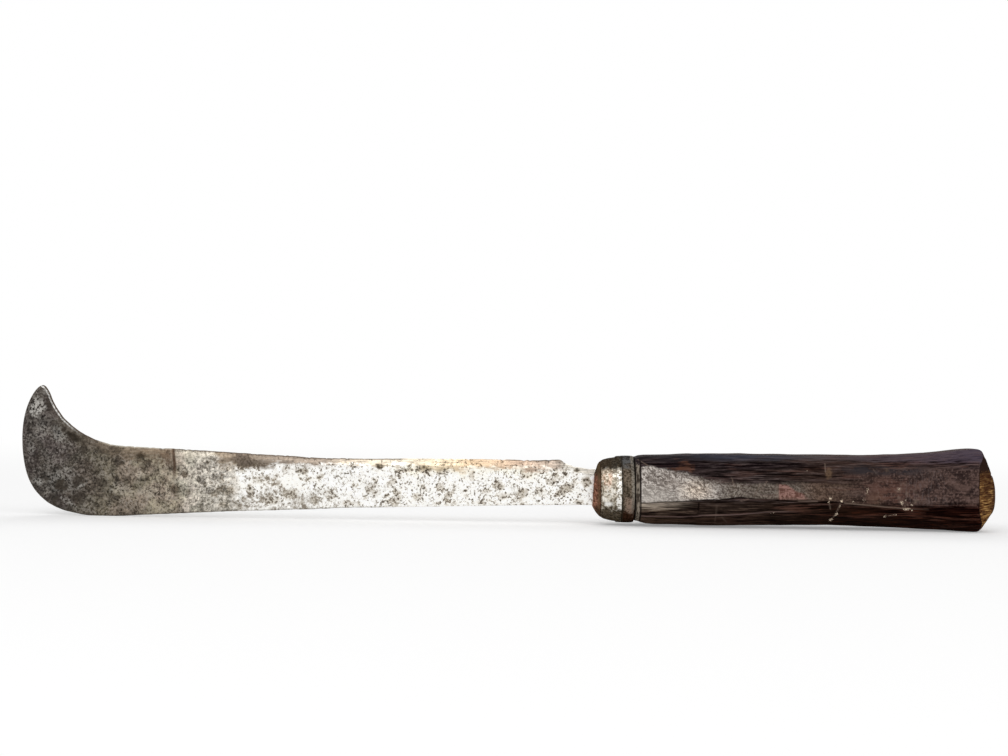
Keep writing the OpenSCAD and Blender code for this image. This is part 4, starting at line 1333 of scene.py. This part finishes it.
def pale_flat(s, base):
    """Pale flat behind the ferrule, partly burnished wood and partly a painted sheen, with creases in
    painted raking light and shade, painted highlights on their lit edges and a painted cream highlight. It
    turns olive and then browner further back.
    """
    # Creases in painted raking light and shade
    raked_ripple = s.crumple((430, 600, 600), 3, 0.64, (3.5, 2.2))
    raked_creases = raked_ripple * 1.9 + s.crumple((900, 1100, 1100), 2, 0.6, (2, 1.2)) * 1.2
    tone = raked_creases + s.grain((150, 190, 190), 3, 0.6) * 1.1 - 0.05
    flat = tone.ramp(FLAT_STOPS).paint((140, 115, 100), s.crease.step(0.43, 0.35, 0, 0.45))
    # Painted highlights on the lit edges of the creases
    crease_highlights = abs(s.grain((420, 520, 520), 2, 0.5, (3, 2.2)) - 0.5).step(0.045, 0) * raked_ripple.step(-0.03, 0.06)
    flat = flat.paint((820, 755, 695), crease_highlights * 0.8)
    flat = flat.paint((620, 575, 520), s.height.step(7, -3) * s.x.step(30, 10) * 0.4)
    # Painted cream highlight
    cream_highlight = s.x.window(25, 36.2, 6.2) * s.height.window(-3.6, 4, 3.6)
    smoky = s.x.window(12.5, 22.5, 4) * s.height.window(0.8, 7.2, 2.8)
    dusk = s.x.step(24, 34) * s.height.step(1, 6)
    flat = flat.tint((1420, 1330, 1210), cream_highlight).tint((720, 690, 670), smoky * 0.8)
    flat = flat.tint((420, 390, 360), dusk * 0.7)
    olive_tone = raked_ripple * 0.8 + (s.speckle - 0.5) * 0.9
    olive = olive_tone.blend(-0.12, 0.14, (120, 95, 76), (375, 312, 256))
    hooked = crease_highlights.most(s.speckle.step(0.55, 0.64)) * s.x.step(60, 52, 0.22, 0.85)
    olive = olive.paint((520, 470, 410), hooked).tint((1100, 880, 780), s.x.step(80, 94))
    return base.paint(flat.paint(olive, s.x.step(38, 50)), s.pale)


def wood_marks(s, base):
    """Amber stains, the reddish square, ridge, cracks with painted shade in the grooves by the ridge,
    scratches, scars and chips.
    """
    ambered = s.mark("amber") * (s.streak * 0.5 + s.soft * 0.5).step(0.42, 0.60, 0, 0.95)
    weave = s.grain((1300, 1300, 260), 3, 0.6).most(s.grain((260, 1300, 1300), 3, 0.6))
    red = weave.blend(0.50, 0.60, (135, 60, 46), (370, 205, 172))
    chip = (s.chip + s.grain(2100, 2).step(0.38, 0.62, -0.8, 0.3)).step(0.4, 0.8)
    for colour, share in (
        ((150, 66, 40), ambered),
        (red, s.mark("red") * 0.9),
        ((250, 170, 155), s.mark("ridge") * s.streak.step(0.40, 0.5, 0.45, 0.95)),
        # Cracks, and painted shade in the grooves by the ridge
        ((7, 4, 3), s.mark("crack").step(0.12, 0.72)),
        ((255, 185, 145), s.mark("scratch") * 0.8),
        ((200, 125, 75), s.mark("scar") * s.speckle.step(0.38, 0.56, 0.2, 0.6)),
        ((860, 700, 530), chip),
    ):
        base = base.paint(colour, share)
    return base


def wood_ends(s, base):
    """Shoulder chamfer, rubbed and painted lighter as a highlight on its rounded edge, between two seams
    painted dark as shade, and the butt's amber end grain with level growth lines, dark at its rim and its
    crown, with painted glints on its top corner."""
    # Painted highlight on the rounded shoulder chamfer, over rubbed wood
    chamfer = s.x.step(2.2, 1.8) * s.height.step(14.5, 12.5)
    chamfer_tint = s.grain((900, 900, 240), 3, 0.6).blend(0.42, 0.58, (60, 47, 36), (330, 280, 225))
    # Painted shade in the gap against the ring and in the groove behind the chamfer
    seam_shade = abs(s.x - 2.5).step(0.6, 0.2).most(s.x.step(0.5, 0.1))
    base = base.paint(chamfer_tint, chamfer * 0.9).paint((10, 7, 6), seam_shade * 0.9)
    amber = s.grain((300, 60, 1600), 3, 0.6).ramp(AMBER_STOPS)
    stain = s.grain((150, 90, 260)).step(0.46, 0.60).most(s.x.step(181.8, 183)).most(s.height.step(1, 6))
    # Painted glints on the top corner of the end
    corner = s.height.step(17.2, 18.6) * s.speckle.step(0.40, 0.55, 0.2, 0.8)
    amber = amber.paint((52, 20, 10), stain * 0.75).paint((28, 14, 10), s.height.step(8.5, 10))
    base = base.paint(amber.paint((235, 165, 115), corner), s.end.step(0.35, 0.75))
    return base.paint((18, 11, 10), s.end.step(0.1, 0.45) * s.end.step(0.95, 0.6) * 0.8)


def handle_wood():
    s = Shader(
        "old_hardwood", streak=((60, 1400, 1400), 4, 0.68), fibre=((150, 2600, 2600), 2, 0.6),
        figure=((34, 330, 330), 3, 0.62, (30, 2)), speckle=(900, 3, 0.62),
        soft=((120, 230, 230), 4, 0.62, (8, 2)), crease=((380, 620, 620), 4, 0.68, (4, 1.6)),
    )
    s.pale, s.chip, s.end = s.mark("pale"), s.mark("chip"), s.mark("end_grain")
    s.spread = s.x.line(0, WOOD_L)
    s.height = s.z + s.streak.step(0.3, 0.7, -1.2, 1.2)
    base = wood_zones(s)
    for layer in (wood_grain, rubbed_skin, pale_flat, wood_marks, wood_ends):
        base = layer(s, base)
    roughness = s.streak.step(0.3, 0.7, 0.42, 0.6) + s.chip.most(s.end) * 0.2
    relief = s.streak * 0.6 + s.fibre * 0.4 + s.crease * s.pale * 1.6
    return s.finish(base, roughness, s.bump(relief, 0.24), specular=0.004)


def pitch():
    """Cutler's pitch: black, glossy, with a few bubbles."""
    s = Shader("bedding_pitch", lumps=(300,))
    bubbles = s.add("TexVoronoi", {"Vector": s.stretched(900), "Scale": 1.0})
    base = s.lumps.ramp([(0.3, 6, 5, 4), (0.7, 22, 16, 12)])
    roughness = s.lumps.step(0.3, 0.7, 0.25, 0.45)
    return s.finish(base, roughness, s.bump(bubbles, 0.2, s.bump(s.lumps, 0.4)))


# Stage and light. The floor fades to the white background between two distances, in millimetres
WHITE = (1000, 1000, 1000)
FLOOR_R = 30.0
FLOOR_CORNERS = 128
FLOOR_COLOUR = (800, 800, 800)
FLOOR_GLOW = 0.26
FLOOR_FADE = (350, 1100)
WORLD_DIFFUSE = 0.62


def seen_ray(nodes):
    """Share of rays that see the white background: camera, glossy and transmission rays."""
    camera, glossy, through = (
        nodes.add("LightPath", {}, f"Is {kind} Ray") for kind in ("Camera", "Glossy", "Transmission")
    )
    return camera.most(glossy).most(through)


def floor_material():
    """Matt white that keeps the tool's shadow, and that fades to the white background further off."""
    s = Shader("floor_white")
    seen = seen_ray(s)
    looks = {
        "Base Color": FLOOR_COLOUR, "Roughness": 1.0, "Specular IOR Level": 0.0, "Emission Color": WHITE,
        "Emission Strength": seen * FLOOR_GLOW,
    }
    for key, value in looks.items():
        s.feed(s.surface.inputs[key], value)
    reach = s.add("VectorMath", {0: s.place}, "Value", operation="LENGTH")
    white = s.add("Emission", {"Color": WHITE, "Strength": 1.0})
    lit = Value(s, s.surface.outputs[0])
    both = s.add("MixShader", {0: reach.step(*FLOOR_FADE) * seen, 1: lit, 2: white})
    s.feed(s.tree.nodes["Material Output"].inputs["Surface"], both)
    return s.material


def make_floor():
    turn = np.linspace(0, 2 * math.pi, FLOOR_CORNERS, endpoint=False)
    mesh = bpy.data.meshes.new("floor")
    corners = [(FLOOR_R * math.cos(a), FLOOR_R * math.sin(a), 0) for a in turn]
    mesh.from_pydata(corners, [], [list(range(len(corners)))])
    floor = added("floor", mesh)
    mesh.materials.append(floor_material())


def make_world():
    world = bpy.data.worlds.new("studio")
    bpy.context.scene.world = world
    world.use_nodes = True
    nodes = Nodes(world.node_tree)
    lit = nodes.add("Background", {"Color": WHITE, "Strength": WORLD_DIFFUSE})
    shown = nodes.add("Background", {"Color": WHITE, "Strength": 1.0})
    both = nodes.add("MixShader", {0: seen_ray(nodes), 1: lit, 2: shown})
    nodes.feed(world.node_tree.nodes["World Output"].inputs["Surface"], both)


# Rectangular lamps that face the tool: place, width and height in metres, and power
LIT_POINT = (0, 0, 0.03)
LAMPS = {
    "key": ((-0.55, -0.95, 1.15), 1.1, 0.8, 5.0),
    "fill": ((0.9, -0.9, 0.75), 0.8, 0.8, 2.2),
    "back": ((0.2, 1.2, 0.9), 1.2, 0.6, 3.2),
}


def make_lamp(name, place, width, height, power):
    lamp = bpy.data.lights.new(name, "AREA")
    lamp.shape = "RECTANGLE"
    lamp.size, lamp.size_y = width, height
    lamp.energy = power
    made = added(name, lamp)
    made.location = place
    made.rotation_euler = (Vector(LIT_POINT) - Vector(place)).to_track_quat("-Z", "Y").to_euler()


# Camera: the photograph's scale in pixels to the millimetre, and its middle on the bench
FRAME_W = 1008
SCALE = 1.9364
VIEW_DISTANCE = 900.0
VIEW_X = -66.8
VIEW_Z = 57.3
SENSOR = 36.0
CLIP = (0.01, 100)


def make_camera():
    data = bpy.data.cameras.new("camera")
    data.sensor_width = SENSOR
    data.lens = SENSOR * SCALE * VIEW_DISTANCE / FRAME_W
    data.clip_start, data.clip_end = CLIP
    camera = added("camera", data)
    place = Matrix.Translation(Vector((VIEW_X, -VIEW_DISTANCE, VIEW_Z)) * MM)
    camera.matrix_world = BENCH @ place @ Matrix.Rotation(math.pi / 2, 4, "X")
    bpy.context.scene.camera = camera


piece(blade_mesh(), blade_steel(), "blade")
piece(tail_mesh(), rusted_iron("peened_iron"), "blade")
piece(bolster_mesh(), rusted_iron("bolster_rust", bolster_patina), "bolster")
piece(cap_mesh(), rusted_iron("cap_iron", cap_patina), "ferrule_cap")
piece(ring_mesh(), rusted_iron("ring_iron", ring_patina), "ferrule_ring")
piece(handle_mesh(), handle_wood(), "handle")
piece(rove_mesh(), rusted_iron("rove_iron"), "butt_rove")
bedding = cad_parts["tang_bedding"]
bedding.data.materials.clear()
bedding.data.materials.append(pitch())

make_camera()
make_world()
make_floor()
for name, settings in LAMPS.items():
    make_lamp(name, *settings)

bpy.context.scene.view_settings.view_transform = "Standard"
